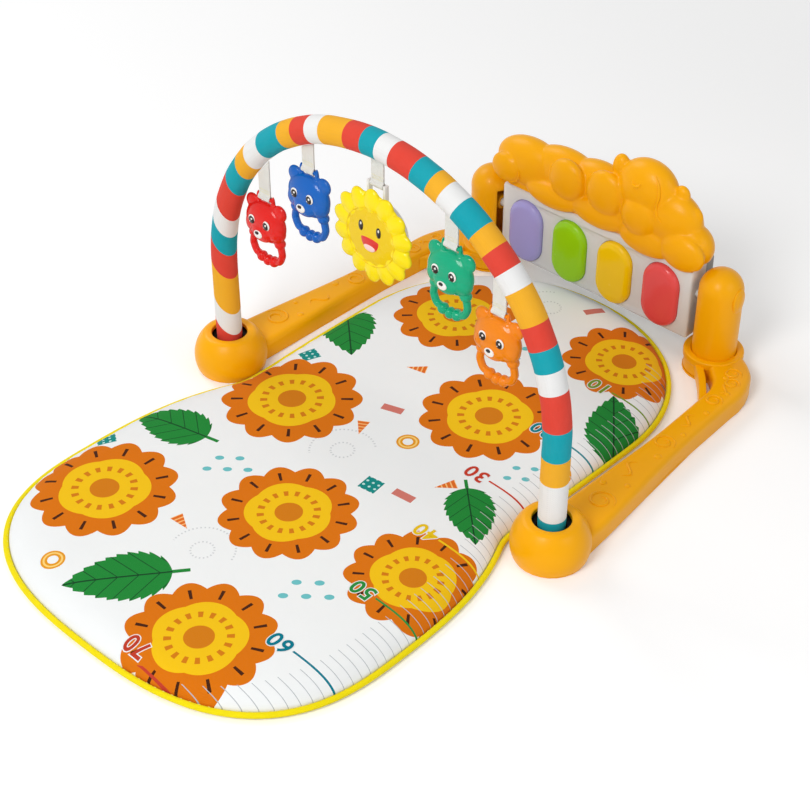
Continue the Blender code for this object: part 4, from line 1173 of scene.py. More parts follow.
# %% Arms
POST_X, POST_Y, ARM_HEIGHT = 0.1625, 0.361, 0.024
ARM_FOOT = Vector((DOME_X + 0.005, 0))
ARM_NECK = Vector((POST_X + 0.055, POST_Y - 0.066))
ARM_END = Vector((POST_X, POST_Y))
ARM_HALVES = (0.0275, 0.0158, 0.0215)
ARM_START, ARM_TAPER, ARM_BEND, ARM_EDGE = 0.13, 0.78, 0.0528, 0.0075
INSIDE_COLLAR, INSIDE_DOME, ARM_ROOT = 0.019, 0.0012, 0.02
GUSSET = (Vector((0.160, 0.335)), Vector((0.180, 0.319)), Vector((0.2055, 0.281)))
GUSSET_HALF, GUSSET_LOW, GUSSET_HIGH, GUSSET_EDGE = 0.0042, 0.0045, 0.0195, 0.0034


def arm_line():
    """Centre and half width along the arm, from the dome to inside the collar."""
    foot, neck, end = ARM_HALVES
    bend = ARM_NECK + (ARM_NECK - ARM_FOOT).normalized() * ARM_BEND
    spots = []
    for i in range(22):
        share = ARM_START + (1 - ARM_START) * i / 22
        ease = min(1, share / ARM_TAPER)
        ease = ease * ease * (3 - 2 * ease)
        spots.append((ARM_FOOT.lerp(ARM_NECK, share), foot + (neck - foot) * ease))
    for i in range(31):
        centre = bowed(ARM_NECK, bend, ARM_END, i / 30)
        if (centre - ARM_END).length > INSIDE_COLLAR:
            spots.append((centre, neck + (end - neck) * min(1, 2 * i / 30)))
    return spots


ARM_LINE = arm_line()


def arm_frames():
    frames = []
    for i, (centre, half) in enumerate(ARM_LINE):
        ahead = ARM_LINE[min(i + 1, len(ARM_LINE) - 1)][0]
        behind = ARM_LINE[max(i - 1, 0)][0]
        along = (ahead - behind).normalized()
        frames.append((centre, Vector((along.y, -along.x)), half))
    return frames


ARM_FRAMES = arm_frames()


def arm_section(half, low=FLOOR_GAP, high=ARM_HEIGHT, edge=ARM_EDGE):
    """Half of the closed section as (sideways, up), mirrored for the whole."""
    side = rounded([(half, low), (half, high), (0, high)], edge, 7)
    return side + [(-x, z) for x, z in side[-2::-1]]


def build_arm():
    """The section carried along the arm. Its first ring lies on the dome, just inside its skin."""
    rings = []
    for k, (centre, across, half) in enumerate(ARM_FRAMES):
        ring = []
        for sideways, up in arm_section(half):
            spot = centre + across * sideways
            if k == 0:
                reach = DOME_R - INSIDE_DOME
                left = reach ** 2 - (spot.x - DOME_X) ** 2 - (up - DOME_Z) ** 2
                spot.y = math.sqrt(max(ARM_ROOT ** 2, left))
            ring.append((spot.x, spot.y, up))
        rings.append(ring)
    return lofted(rings)


def build_gusset():
    """A curved rib across the inner elbow, which leaves a small hole behind it."""
    start, bend, end = GUSSET
    section = arm_section(GUSSET_HALF, GUSSET_LOW, GUSSET_HIGH, GUSSET_EDGE)
    rings = []
    for i in range(17):
        t = i / 16
        centre = bowed(start, bend, end, t)
        along = ((1 - t) * (bend - start) + t * (end - bend)).normalized()
        across = Vector((along.y, -along.x))
        rings.append([(*(centre + across * sideways), up) for sideways, up in section])
    return lofted(rings)


def arm_spot(share, sideways):
    """A place on top of the arm: share of its length, and share of its half width."""
    centre, across, half = ARM_FRAMES[int(share * (len(ARM_FRAMES) - 1))]
    spot = centre + across * sideways * half
    return Vector((spot.x, spot.y, ARM_HEIGHT))


print("arm line:", len(ARM_FRAMES), "places from dome to collar")

# %% [markdown]
# The arms carry a shallow moulded relief of plain curls, waves and dots. Each is a thin line or a low
# dome, half sunk into the arm, so that its edge meets the surface without a step.

# %% Lines and lumps
BEAD_SIDES, BEAD_TIP, BEAD_TAPER = 10, 0.3, 3


def circle(centre, side, up, radius, count):
    """A ring of points round a centre."""
    return [centre + (side * math.cos(a) + up * math.sin(a)) * radius for a in full_turn(count)]


def lump(bm, centre, radii, around=32, along=20):
    """An ellipsoid added to a bmesh."""
    made = bmesh.ops.create_uvsphere(bm, u_segments=around, v_segments=along, radius=1)["verts"]
    bmesh.ops.scale(bm, vec=Vector(radii), verts=made)
    bmesh.ops.translate(bm, vec=Vector(centre), verts=made)
    return made


def bead_line(points, up, radius):
    """A thin rounded line that tapers at both ends, half sunk into the surface under it."""
    last = len(points) - 1
    rings = []
    for k, point in enumerate(points):
        along = (points[min(k + 1, last)] - points[max(k - 1, 0)]).normalized()
        across = along.cross(up).normalized()
        size = radius * min(1, BEAD_TIP + BEAD_TAPER * min(k, last - k) / last)
        rings.append(circle(point, across, up, size, BEAD_SIDES))
    return lofted(rings)


def joined(parts):
    """Several shapes in one bmesh."""
    whole = bmesh.new()
    for part in parts:
        mesh = bpy.data.meshes.new("part")
        part.to_mesh(mesh)
        part.free()
        whole.from_mesh(mesh)
        bpy.data.meshes.remove(mesh)
    return whole


print("line and lump helpers ready")

# %% Arm relief
# Share of the arm's length, share of its half width, form and size
RELIEF = ((0.08, 0.10, "curl", 0.0150), (0.13, -0.50, "dot", 0.0036), (0.150, 0.45, "dot", 0.0030),
          (0.19, -0.20, "wave", 0.0140), (0.25, 0.40, "dot", 0.0040), (0.29, -0.08, "curl", 0.0125),
          (0.34, 0.45, "dot", 0.0028), (0.385, -0.15, "wave", 0.0120), (0.43, 0.35, "dot", 0.0034),
          (0.47, -0.05, "curl", 0.0100), (0.535, 0.30, "dot", 0.0030), (0.585, -0.10, "wave", 0.0095),
          (0.66, 0.10, "curl", 0.0090), (0.735, -0.30, "dot", 0.0034), (0.80, 0.05, "curl", 0.0105))
RELIEF_LINE, RELIEF_DOT = 0.0015, 0.0014
CURL_TURN, CURL_CLOSE, WAVE_SWING = 500, 0.7, 0.45


def curl_points(size):
    turns = [math.radians(CURL_TURN * i / 40) for i in range(41)]
    radii = [size * (1 - CURL_CLOSE * i / 40) for i in range(41)]
    return [Vector((r * math.cos(a), r * math.sin(a), 0)) for r, a in zip(radii, turns)]


def wave_points(size):
    points = []
    for i in range(25):
        swing = WAVE_SWING * size * math.sin(i / 24 * 2 * math.pi)
        points.append(Vector((swing, size * (i / 12 - 1), 0)))
    return points


def build_relief():
    parts = []
    for share, sideways, kind, size in RELIEF:
        spot = arm_spot(share, sideways)
        if kind == "dot":
            dot = bmesh.new()
            lump(dot, spot, (size, size, RELIEF_DOT), 24, 10)
            parts.append(dot)
        else:
            points = curl_points(size) if kind == "curl" else wave_points(size)
            parts.append(bead_line([spot + point for point in points], UP, RELIEF_LINE))
    return joined(parts)


on_both_sides(
    ("arm", build_arm, yellow_plastic, "frame_yellow", "arm_shell", 40),
    ("arm_relief", build_relief, yellow_plastic, "frame_yellow", None, 50),
    ("arm_gusset", build_gusset, yellow_plastic, "frame_yellow", None, 50),
)

# %% [markdown]
# ## Collars and posts
# A round-topped post stands in a collar at the end of each arm and carries the piano. The post is
# hollow, with a tall window for the piano's pin. It is spun as a thin skin, the window's faces are taken
# out, and the skin then gets its wall, so that the window's edge is as thick as the rest.

# %% Collars and posts
POST_R, POST_TOP, POST_WALL, POST_BOTTOM, PIVOT_Z = 0.0245, 0.127, 0.003, 0.0054, 0.085
# Heights in metres and half of the opening in degrees
WINDOW_LOW, WINDOW_HIGH, WINDOW_HALF = 0.033, 0.1065, 36.5
WINDOW_EDGE, BADGE_Z = 0.0008, 0.097
# How deep the middle of each of the badge's ovals lies, and its half sizes
BADGE = ((0.0012, (0.0026, 0.0105, 0.0150)), (0.0002, (0.0024, 0.0070, 0.0105)))
COLLAR_R, COLLAR_TOP, COLLAR_HOLE, COLLAR_FLOOR, COLLAR_EDGE = 0.0333, 0.025, 0.012, 0.0052, 0.0022
CLEAR = 0.0003


def reworked(bm, change):
    """The bmesh after change() has put modifiers on it."""
    work = as_object("work", bm)
    mesh = work.data
    change(work)
    bm = taken(work)
    bpy.data.meshes.remove(mesh)
    return bm


def build_collar():
    """A cup for the post's foot, with a groove under its rim."""
    inner = POST_R + CLEAR
    corners = [(inner, COLLAR_FLOOR), (inner, COLLAR_TOP), (COLLAR_R, COLLAR_TOP), (COLLAR_R, 0.0165),
               (COLLAR_R - 0.002, 0.0150), (COLLAR_R - 0.001, FLOOR_GAP), (COLLAR_HOLE, FLOOR_GAP),
               (COLLAR_HOLE, COLLAR_FLOOR)]
    profile = rounded(corners, COLLAR_EDGE) + [corners[0]]
    return moved(turned(profile, 64), (POST_X, POST_Y, 0))


def build_post():
    """A hollow post with a tall window towards the piano."""
    shoulder = POST_TOP - POST_R
    rise = [POST_BOTTOM + (WINDOW_LOW - POST_BOTTOM) * i / 3 for i in range(4)]
    rise += [WINDOW_LOW + (shoulder - WINDOW_LOW) * i / 10 for i in range(1, 11)]
    profile = [(POST_R, z) for z in rise] + arc(shoulder, POST_R, 0, 90, 14)[1:]
    profile[-1] = (0, POST_TOP)
    bm = turned(profile, 60)
    doomed = []
    for face in bm.faces:
        middle = face.calc_center_median()
        angle = math.degrees(math.atan2(middle.y, -middle.x))
        if abs(angle) < WINDOW_HALF and WINDOW_LOW < middle.z < WINDOW_HIGH:
            doomed.append(face)
    bmesh.ops.delete(bm, geom=doomed, context="FACES")
    bmesh.ops.recalc_face_normals(bm, faces=bm.faces)
    inside = Vector((0, 0, POST_TOP / 2))
    if sum(face.normal.dot(face.calc_center_median() - inside) for face in bm.faces) < 0:
        bmesh.ops.reverse_faces(bm, faces=bm.faces)

    def thicken(work):
        solid = work.modifiers.new("Wall", "SOLIDIFY")
        solid.thickness = POST_WALL
        solid.offset = -1
        soft = work.modifiers.new("Soft edge", "BEVEL")
        soft.width = WINDOW_EDGE
        soft.segments = 2
        soft.limit_method = "ANGLE"
        soft.angle_limit = math.radians(50)

    return moved(reworked(bm, thicken), (POST_X, POST_Y, 0))


def build_badge():
    """A plain raised oval with a smaller one on it, on the post's outer side."""
    bm = bmesh.new()
    outer = Vector((POST_X + POST_R, POST_Y, BADGE_Z))
    for depth, radii in BADGE:
        lump(bm, outer - Vector((depth, 0, 0)), radii, 36, 24)
    return bm


on_both_sides(
    ("collar", build_collar, yellow_plastic, "frame_yellow", None, 45),
    ("post_shell", build_post, yellow_plastic, "frame_yellow", "post", 45),
    ("post_badge", build_badge, yellow_plastic, "frame_yellow", None, 45),
)

# %% [markdown]
# ## Keys
# Four pillow-shaped keys stand proud of the panel. Each is an upright round-ended outline, drawn in as
# it comes forward along a quarter of an ellipse, which gives the soft highlight along its edge.

# %% Piano keys
FRONT_Y, KEY_Z, KEY_W, KEY_H, KEY_PITCH, KEY_PROUD = 0.346, 0.073, 0.047, 0.078, 0.064, 0.008
KEY_BACK, KEY_EDGE = 0.0052, 0.0085
# Shares of how far a key stands out: its side is straight, then curves over, then comes the flat crown
KEY_STRAIGHT, KEY_CURVE = 0.2, 0.72
# How far each ring of the crown is drawn in, and its share
KEY_CROWN = ((0.0105, 0.945), (0.0135, 0.965), (0.017, 0.985), (0.0205, 0.997), (0.0228, 1.0))


def stadium(x, y, inset, steps=20):
    """The round-ended outline of a key, drawn in by an inset."""
    radius = KEY_W / 2 - inset
    straight = (KEY_H - KEY_W) / 2
    points = []
    for start, sign in ((0, 1), (math.pi, -1)):
        for i in range(steps + 1):
            angle = start + math.pi * i / steps
            height = KEY_Z + sign * straight + radius * math.sin(angle)
            points.append((x + radius * math.cos(angle), y, height))
    return points


def build_key(x):
    rings = [stadium(x, FRONT_Y + KEY_BACK, 0.0), stadium(x, FRONT_Y - KEY_STRAIGHT * KEY_PROUD, 0.0)]
    for i in range(1, 13):
        angle = math.pi / 2 * i / 13
        forward = KEY_STRAIGHT + KEY_CURVE * math.sin(angle)
        rings.append(stadium(x, FRONT_Y - forward * KEY_PROUD, KEY_EDGE * (1 - math.cos(angle))))
    for inset, forward in KEY_CROWN:
        rings.append(stadium(x, FRONT_Y - forward * KEY_PROUD, inset))
    return lofted(rings)


KEY_MIDDLES = [(i - 1.5) * KEY_PITCH for i in range(4)]
for i, body in enumerate(("key_a", "key_b", "key_c", "key_d")):
    name = f"key_{i + 1}"
    piece(name + "_cap", build_key(KEY_MIDDLES[i]), key_plastic[i + 1], body, name, [name], 50)

# %% [markdown]
# The CAD panel's windows have few sides, and a round key would cut into them. So the panel is a copy of
# the CAD one, with each window cut again a little larger and as finely as its key.

# %% Piano panel
KEY_ROOM = 0.0005
WINDOW_DEPTH = (FRONT_Y - 0.003, FRONT_Y + 0.005)


def carve(bm, *cutters):
    """Cuts other shapes out of a shape, and splits the many-sided faces that this leaves."""
    made = []

    def change(work):
        for cutter in cutters:
            tool = as_object("cutter", cutter)
            made.append(tool)
            cut = work.modifiers.new("Cut", "BOOLEAN")
            cut.operation = "DIFFERENCE"
            cut.solver = "EXACT"
            cut.object = tool

    bm = reworked(bm, change)
    for tool in made:
        mesh = tool.data
        bpy.data.objects.remove(tool)
        bpy.data.meshes.remove(mesh)
    bmesh.ops.triangulate(bm, faces=[face for face in bm.faces if len(face.verts) > 4])
    return bm


def build_panel():
    bm = bmesh.new()
    bm.from_mesh(nodes["console_front"].data)
    bmesh.ops.remove_doubles(bm, verts=bm.verts, dist=MERGE)
    windows = []
    for x in KEY_MIDDLES:
        windows.append(lofted([stadium(x, y, -KEY_ROOM) for y in WINDOW_DEPTH]))
    return carve(bm, *windows)


piece("console_panel", build_panel(), grey_plastic, "piano", "shell_grey", ["console_front"])

# %% [markdown]
# ## The animal on the piano
# A plump animal sleeps along the top of the piano. It is soft all over, so it is made like clay: many
# lumps pressed together, melted into one skin by a voxel remesh and smoothed. Then the space of the
# piano's case is cut away, and so is the space that the posts need when the piano tilts.

# %% Clay
def block(bm, low, high, bevel=0.0):
    """A box added to a bmesh, with its edges rounded."""
    low, high = Vector(low), Vector(high)
    made = bmesh.ops.create_cube(bm, size=1)["verts"]
    bmesh.ops.scale(bm, vec=high - low, verts=made)
    bmesh.ops.translate(bm, vec=(low + high) / 2, verts=made)
    if bevel:
        edges = {edge for vert in made for edge in vert.link_edges}
        bmesh.ops.bevel(
            bm, geom=list(edges), offset=bevel, segments=3, profile=0.5, affect="EDGES", material=-1
        )


def rod(bm, start, end, radius, sides=24):
    start, end = Vector(start), Vector(end)
    turn = (end - start).to_track_quat("Z", "Y").to_matrix().to_4x4()
    bmesh.ops.create_cone(
        bm, cap_ends=True, segments=sides, radius1=radius, radius2=radius,
        depth=(end - start).length, matrix=Matrix.Translation((start + end) / 2) @ turn,
    )


def largest_skin(bm):
    """Drops the small bubbles that a remesh can close inside a shape."""
    waiting = set(bm.faces)
    skins = []
    while waiting:
        skin, front = [], [waiting.pop()]
        while front:
            face = front.pop()
            skin.append(face)
            near = waiting & {other for edge in face.edges for other in edge.link_faces}
            waiting -= near
            front += near
        skins.append(skin)
    for skin in sorted(skins, key=len)[:-1]:
        bmesh.ops.delete(bm, geom=skin, context="FACES")
    return bm


def grown_together(bm, voxel, rounds):
    """Melts overlapping lumps into one skin and relaxes it, as a mould's fillets would."""
    def remesh(work):
        melt = work.modifiers.new("Melt", "REMESH")
        melt.mode = "VOXEL"
        melt.voxel_size = voxel

    bm = largest_skin(reworked(bm, remesh))
    for i in range(rounds):
        bmesh.ops.smooth_vert(
            bm, verts=bm.verts, factor=0.5, use_axis_x=True, use_axis_y=True, use_axis_z=True
        )
    return bm


print("clay helpers ready")

# %% Crest
CONSOLE_TOP, CONSOLE_HALF, REAR_Y = 0.122, 0.134, 0.387
DEEP, NEAR = FRONT_Y + 0.0145, FRONT_Y + 0.0005
CREST_VOXEL, CREST_ROUNDS, CREST_LINE, SWEEP_ROOM = 0.0014, 2, 0.0017, 0.0008
CORE_HALF, CORE_FRONT, CORE_BACK, CORE_SINK, CORE_RISE, CORE_EDGE = 0.130, 0.002, 0.034, 0.004, 0.022, 0.004
# The cutters reach well past the animal, whose back is cut flat a little before the case's back
CUT_WIDE, CUT_DEEP, CUT_HIGH, CASE_PAST, BACK_SHORT = 0.3, 0.1, 0.35, 0.02, 0.005
# Place across, height over the case and place in depth; then half width, half height and half depth
LUMPS = (
    (-0.106, 0.030, DEEP + 0.001, 0.047, 0.031, 0.021),
    (-0.056, 0.035, DEEP + 0.003, 0.050, 0.031, 0.019),
    (-0.008, 0.039, DEEP + 0.003, 0.045, 0.029, 0.019),
    (0.058, 0.063, DEEP - 0.001, 0.0385, 0.035, 0.0225),
    (0.090, 0.040, DEEP, 0.040, 0.034, 0.0210),
    (0.118, 0.018, DEEP, 0.028, 0.026, 0.021),
    (-0.128, 0.024, NEAR - 0.003, 0.0200, 0.0180, 0.0095),
    (-0.041, 0.041, NEAR - 0.002, 0.0245, 0.0250, 0.0110),
    (0.0125, 0.045, NEAR - 0.002, 0.0255, 0.0275, 0.0110),
    (0.0595, 0.0360, NEAR - 0.003, 0.0230, 0.0235, 0.0105),
    (-0.062, 0.0115, NEAR - 0.001, 0.037, 0.0150, 0.0090),
    (0.004, 0.0145, NEAR - 0.001, 0.037, 0.0160, 0.0090),
    (0.070, 0.0080, NEAR - 0.001, 0.036, 0.0165, 0.0090),
    (0.118, 0.0140, NEAR - 0.001, 0.0285, 0.0215, 0.0110),
    (0.0215, 0.0765, DEEP - 0.003, 0.0105, 0.0160, 0.0085),
    (0.1000, 0.0705, DEEP + 0.001, 0.0100, 0.0120, 0.0065),
    (0.1180, 0.0510, DEEP + 0.001, 0.0110, 0.0130, 0.0065),
    (0.040, 0.024, DEEP + 0.001, 0.034, 0.026, 0.0200),
)


def build_crest():
    bm = bmesh.new()
    seat = CONSOLE_TOP + CLEAR
    low = (-CORE_HALF, FRONT_Y + CORE_FRONT, seat - CORE_SINK)
    block(bm, low, (CORE_HALF, FRONT_Y + CORE_BACK, seat + CORE_RISE), CORE_EDGE)
    for x, z, y, wide, tall, deep in LUMPS:
        lump(bm, (x, y, CONSOLE_TOP + z), (wide, deep, tall), 48, 30)
    bm = grown_together(bm, CREST_VOXEL, CREST_ROUNDS)
    case = bmesh.new()
    half = CONSOLE_HALF + CLEAR
    block(case, (-half, FRONT_Y - CLEAR, 0), (half, REAR_Y + CASE_PAST, seat))
    back = bmesh.new()
    block(back, (-CUT_WIDE, REAR_Y - BACK_SHORT, 0), (CUT_WIDE, REAR_Y + CUT_DEEP, CUT_HIGH))
    sweeps = []
    for side in (-1, 1):
        sweep = bmesh.new()
        ends = [(side * x, POST_Y, PIVOT_Z) for x in (CONSOLE_HALF + 2 * CLEAR, CUT_WIDE)]
        rod(sweep, *ends, POST_TOP - PIVOT_Z + SWEEP_ROOM, 64)
        sweeps.append(sweep)
    return carve(bm, case, back, *sweeps)


animal = build_crest()
crest = piece("piano_crest_relief", animal, yellow_plastic, "piano", "frame_yellow", ["piano_crest"], 60)

# %% [markdown]
# Fine raised lines draw the animal's closed eye and two folds. A few points give each line and a smooth
# curve goes through them. Each point of the curve is then sent backwards until it meets the animal, so
# that the line follows every bulge.

# %% Crest lines
LOOK_FROM = 0.2
# A closed eye, the cheek and a fold at the other end: places across, and heights over the case
FACE_LINES = (
    ((0.049, 0.0775), (0.0515, 0.0745), (0.0550, 0.0735), (0.0585, 0.0750), (0.0605, 0.0785)),
    ((0.0730, 0.0900), (0.0800, 0.0810), (0.0830, 0.0700), (0.0815, 0.0580), (0.0840, 0.0480),
     (0.0920, 0.0420)),
    ((-0.1220, 0.0080), (-0.1130, 0.0120), (-0.1080, 0.0200), (-0.1085, 0.0290)),
)


def curve_point(a, b, c, d, t):
    """A point between b and c on the smooth curve that also goes through a and d."""
    spot = 2 * b + (c - a) * t + (2 * a - 5 * b + 4 * c - d) * t * t
    return (spot + (3 * b - a - 3 * c + d) * t ** 3) / 2


def traced(points, under, steps=8):
    """A smooth line through (x, height) points, laid on the front of a piece."""
    line = []
    ends = [points[0]] + list(points) + [points[-1]]
    for a, b, c, d in zip(ends, ends[1:], ends[2:], ends[3:]):
        a, b, c, d = (Vector(p) for p in (a, b, c, d))
        for i in range(steps):
            spot = curve_point(a, b, c, d, i / steps)
            start = Vector((spot.x, LOOK_FROM, CONSOLE_TOP + spot.y))
            hit, place, normal, index = under.ray_cast(start, BACKWARD)
            if hit:
                line.append(place)
    return line


lines = joined([bead_line(traced(points, crest), -BACKWARD, CREST_LINE) for points in FACE_LINES])
piece("crest_lines", lines, yellow_plastic, "piano", "frame_yellow", (), 50)

# %% [markdown]
# ## Webbing
# The toys hang on white webbing. Its threads are far too fine to model, so a checker of bumps stands for
# the weave, and slower ribs run down the tape, as they do where the warp is thick.

# %% Webbing
WEBBING_CELL = 3000


def webbing_finish():
    made = Finish("webbing", {"Sheen Weight": 0.2})
    x, y, z = made.axes()
    weave = made.weave(x, z, WEBBING_CELL)
    rib = (x * (WEBBING_CELL / 2)).sin()
    worn = made.noise(150, 3)
    cloth = made.mix(srgb(222, 222, 216), srgb(236, 236, 230), worn)
    # Where the weave dips the tape is greyer: painted shade in its hollows
    made.set("Base Color", made.mix(cloth, srgb(170, 170, 164), (weave < -0.3) * 0.35))
    made.set("Roughness", 0.8 + worn * 0.1)
    made.bump(weave * 0.7 + rib * 0.3, 0.6, 0.0003)
    return made


webbing = webbing_finish()
print("webbing:", len(webbing.tree.nodes), "nodes")

# %% [markdown]
# ## Straps
# Each toy's tape goes down from the arch, round the toy's bar and back up, sewn to itself. So it is one
# line of points, down, round and up again, extruded sideways, with its top on the slant that the arch
# has there. A Solidify modifier then gives it the thickness of webbing.

# %% Straps
BAR_R, BAR_HALF, BAR_ROOM = 0.002, 0.0105, 0.0004
STRAP_W, TAPE, STRAP_WAIST = 0.016, 0.0007, 0.0042
HEM, SWING_GAP, STRAP_THICK, PLY_ROOM = 0.0006, 0.0006, 0.0016, 0.0001
# Where the loop round the bar starts and how far it turns, in degrees
LOOP_START, LOOP_TURN = 118, 304
ARCH_STEP = math.radians(4)
TACK_ROWS, TACK_PITCH, TACK_OUT, TACK_SIZE = (0.0062, 0.0092), 0.0016, 0.00085, (0.0006, 0.00022, 0.00025)
# Where each toy hangs on the arch, in degrees from its top, and how long its strap is
TOYS = {
    "red": (-48, 0.0355), "blue": (-26, 0.027), "sunflower": (0, 0.027), "green": (26, 0.0325),
    "orange": (46, 0.0355),
}


def hang(toy):
    """Swing axis under the CAD model's sleeve of straight lengths, slope there, and the toy's bar."""
    degrees, length = TOYS[toy]
    angle = math.radians(90 - degrees)
    outward = Vector((math.cos(angle), 0, math.sin(angle)))
    reach = ARCH_R * math.cos(ARCH_STEP / 2) - SLEEVE_R - SWING_GAP - STRAP_THICK / 2
    swing = Vector((0, 0, ARCH_LEG)) + outward * reach
    return swing, -outward.x / outward.z, swing - Vector((0, 0, length))


def build_strap(toy):
    swing, slope, bar = hang(toy)
    loop_r = BAR_R + BAR_ROOM + TAPE / 2
    top, waist = swing.z + HEM, bar.z + STRAP_WAIST
    layer = TAPE / 2 + PLY_ROOM
    line = [(-layer, top - (top - waist) * i / 10) for i in range(11)]
    for i in range(25):
        angle = math.radians(LOOP_START + LOOP_TURN * i / 24)
        line.append((loop_r * math.cos(angle), bar.z + loop_r * math.sin(angle)))
    line += [(layer, waist + (top - waist) * i / 10) for i in range(11)]
    bm = bmesh.new()
    verts = [bm.verts.new((bar.x - STRAP_W / 2, y, z)) for y, z in line]
    edges = [bm.edges.new(pair) for pair in zip(verts, verts[1:])]
    for i in range(8):
        fresh, edges = extruded(bm, edges)
        bmesh.ops.translate(bm, vec=(STRAP_W / 8, 0, 0), verts=list(fresh))
    for vert in bm.verts:
        share = max(0.0, (vert.co.z - waist) / (top - waist))
        vert.co.z += slope * (vert.co.x - bar.x) * share

    def thicken(work):
        solid = work.modifiers.new("Tape", "SOLIDIFY")
        solid.thickness = TAPE
        solid.offset = 0

    return reworked(bm, thicken)


def build_tacks(toy):
    """Two rows of stitches across the strap, above its loop."""
    swing, slope, bar = hang(toy)
    bm = bmesh.new()
    for row in TACK_ROWS:
        for i in range(9):
            x = bar.x + (i - 4) * TACK_PITCH
            for y in (-TACK_OUT, TACK_OUT):
                lump(bm, (x, y, bar.z + row), TACK_SIZE, 6, 5)
    return bm


for toy in TOYS:
    name = toy if toy == "sunflower" else toy + "_rattle"
    body = "flower_strap" if toy == "sunflower" else toy + "_strap"
    piece(f"{toy}_tape", build_strap(toy), webbing, body, "webbing", [name + "_strap"], 50)
    piece(f"{toy}_tacks", build_tacks(toy), pale_thread, body, "webbing")

# %% [markdown]
# ## Rattle heads
# Four glossy animal heads share one mould: an oval face, round ears, and two prongs that hold the strap's
# bar. They are lumps melted together, like the animal on the piano, so that ears and cheeks grow out of
# the face without a seam. The bar is a plain rod and stays sharp.

# %% Rattle heads
HEAD = Vector((0, -0.0004, -0.028))
HEAD_R = Vector((0.0275, 0.011, 0.023))
TOY_VOXEL = 0.0008
MUZZLE, MUZZLE_R = (0, -0.0065, -0.037), (0.0155, 0.0065, 0.0115)
# Place and half sizes of an ear, a cheek and a corner of the jaw, on the right
HEAD_SIDE = (
    ((0.0195, 0.0008, -0.0115), (0.0092, 0.0042, 0.0092)),
    ((0.0150, -0.0012, -0.034), (0.0120, 0.0085, 0.0120)),
    ((0.0188, 0.0, -0.047), (0.0062, 0.0060, 0.0060)),
)
PRONG, PRONG_R = (0.0107, 0.0006, -0.0045), (0.0020, 0.0027, 0.0095)


def build_head():
    bm = bmesh.new()
    lump(bm, HEAD, HEAD_R, 56, 36)
    lump(bm, MUZZLE, MUZZLE_R)
    for side in (-1, 1):
        for (x, y, z), radii in HEAD_SIDE:
            lump(bm, (side * x, y, z), radii)
        x, y, z = PRONG
        lump(bm, (side * x, y, z), PRONG_R, 20, 24)
    bm = grown_together(bm, TOY_VOXEL, 4)
    rod(bm, (-BAR_HALF, 0, 0), (BAR_HALF, 0, 0), BAR_R, 20)
    return bm


print("rattle head:", round(2000 * HEAD_R.x), "mm wide")

# %% [markdown]
# ## Rattle loops
# A loop handle with three grip beads comes out of each head. It is a circle carried round a smooth closed
# line, and the circle is wider at each bead. A torus would be quicker, but the real loop has wide
# shoulders and is nearly flat below.

# %% Rattle loops
RING_R, RING_HALF, RING_DROP, BEAD_SWELL = 0.0038, 0.021, 0.074, 0.55
GRIP, GRIP_HIGH, BEADS = RING_HALF * 0.62, 0.0045, 3


def ring_line():
    """Corner points of the loop, starting inside the head."""
    top, shoulder, bottom = -0.034, -0.057, -RING_DROP
    half = [(0, top), (0.012, top), (0.0165, top - 0.006), (RING_HALF, shoulder)]
    half += [(RING_HALF - 0.0005, shoulder - 0.006), (GRIP + 0.0042, bottom + 0.0048)]
    lower = [(GRIP * (1 - i / 6), bottom + 0.003 * (1 - i / 6) ** 2) for i in range(13)]
    corners = half + lower + [(-x, z) for x, z in half[:0:-1]]
    return [Vector((x, 0, z)) for x, z in corners]


def smooth_loop(points, steps=6):
    """A smooth closed curve through the points."""
    curve = []
    for k in range(len(points)):
        a, b, c, d = (points[(k + i - 1) % len(points)] for i in range(4))
        curve += [curve_point(a, b, c, d, i / steps) for i in range(steps)]
    return curve


def bead_swell(point):
    """How much thicker the loop is at a place, with beads along its grip."""
    if point.z > -RING_DROP + GRIP_HIGH or abs(point.x) > GRIP:
        return 1.0
    return 1 + BEAD_SWELL * abs(math.sin(math.pi * BEADS * (point.x + GRIP) / (2 * GRIP)))


def build_loop():
    line = smooth_loop(ring_line())
    rings = []
    for k, point in enumerate(line):
        along = (line[(k + 1) % len(line)] - line[k - 1]).normalized()
        out = Vector((-along.z, 0, along.x))
        rings.append(circle(point, out, BACKWARD, RING_R * bead_swell(point), 22))
    return lofted(rings, shut=True)


print("rattle loop:", round(2000 * RING_HALF), "mm across its middle line")

# %% [markdown]
# ## Rattle faces
# Eyes and nose are painted on, and the white glints on the eyes are painted highlights. As very low lumps
# they look the same, and they stay sharp where a painted image would blur. Each stands on the face at the
# depth that the face has there.

# %% Rattle faces
EYES = tuple((side * 0.0105, -0.0245) for side in (-1, 1))
EYE_R, PUPIL_R = (0.0046, 0.0015, 0.0052), (0.0038, 0.0014, 0.0044)
SNOUT, SNOUT_R = (0, -0.0128, -0.0375), (0.0058, 0.0018, 0.0045)
NOSE, NOSE_R = (0, -0.0142, -0.0352), (0.0026, 0.0012, 0.0018)
# Pupils and glints are a little closer together than the whites, and stand out from the face
EYE_CLOSE, PUPIL_OUT, PUPIL_LOW, GLINT_OUT = 0.97, 0.0008, 0.0004, 0.0019
# A large and a small glint, painted highlights: place on the eye, half sizes, and how many faces around and
# along
GLINTS = (((0.0012, 0.0014), (0.0011, 0.0007, 0.0012), 14, 10),
          ((-0.0012, -0.0018), (0.0006, 0.0005, 0.0006), 12, 8))


def face_depth(x, z):
    """How far forward the face is at a place on it."""
    dx, dz = (x - HEAD.x) / HEAD_R.x, (z - HEAD.z) / HEAD_R.z
    return HEAD.y - HEAD_R.y * math.sqrt(max(0.02, 1 - dx * dx - dz * dz))


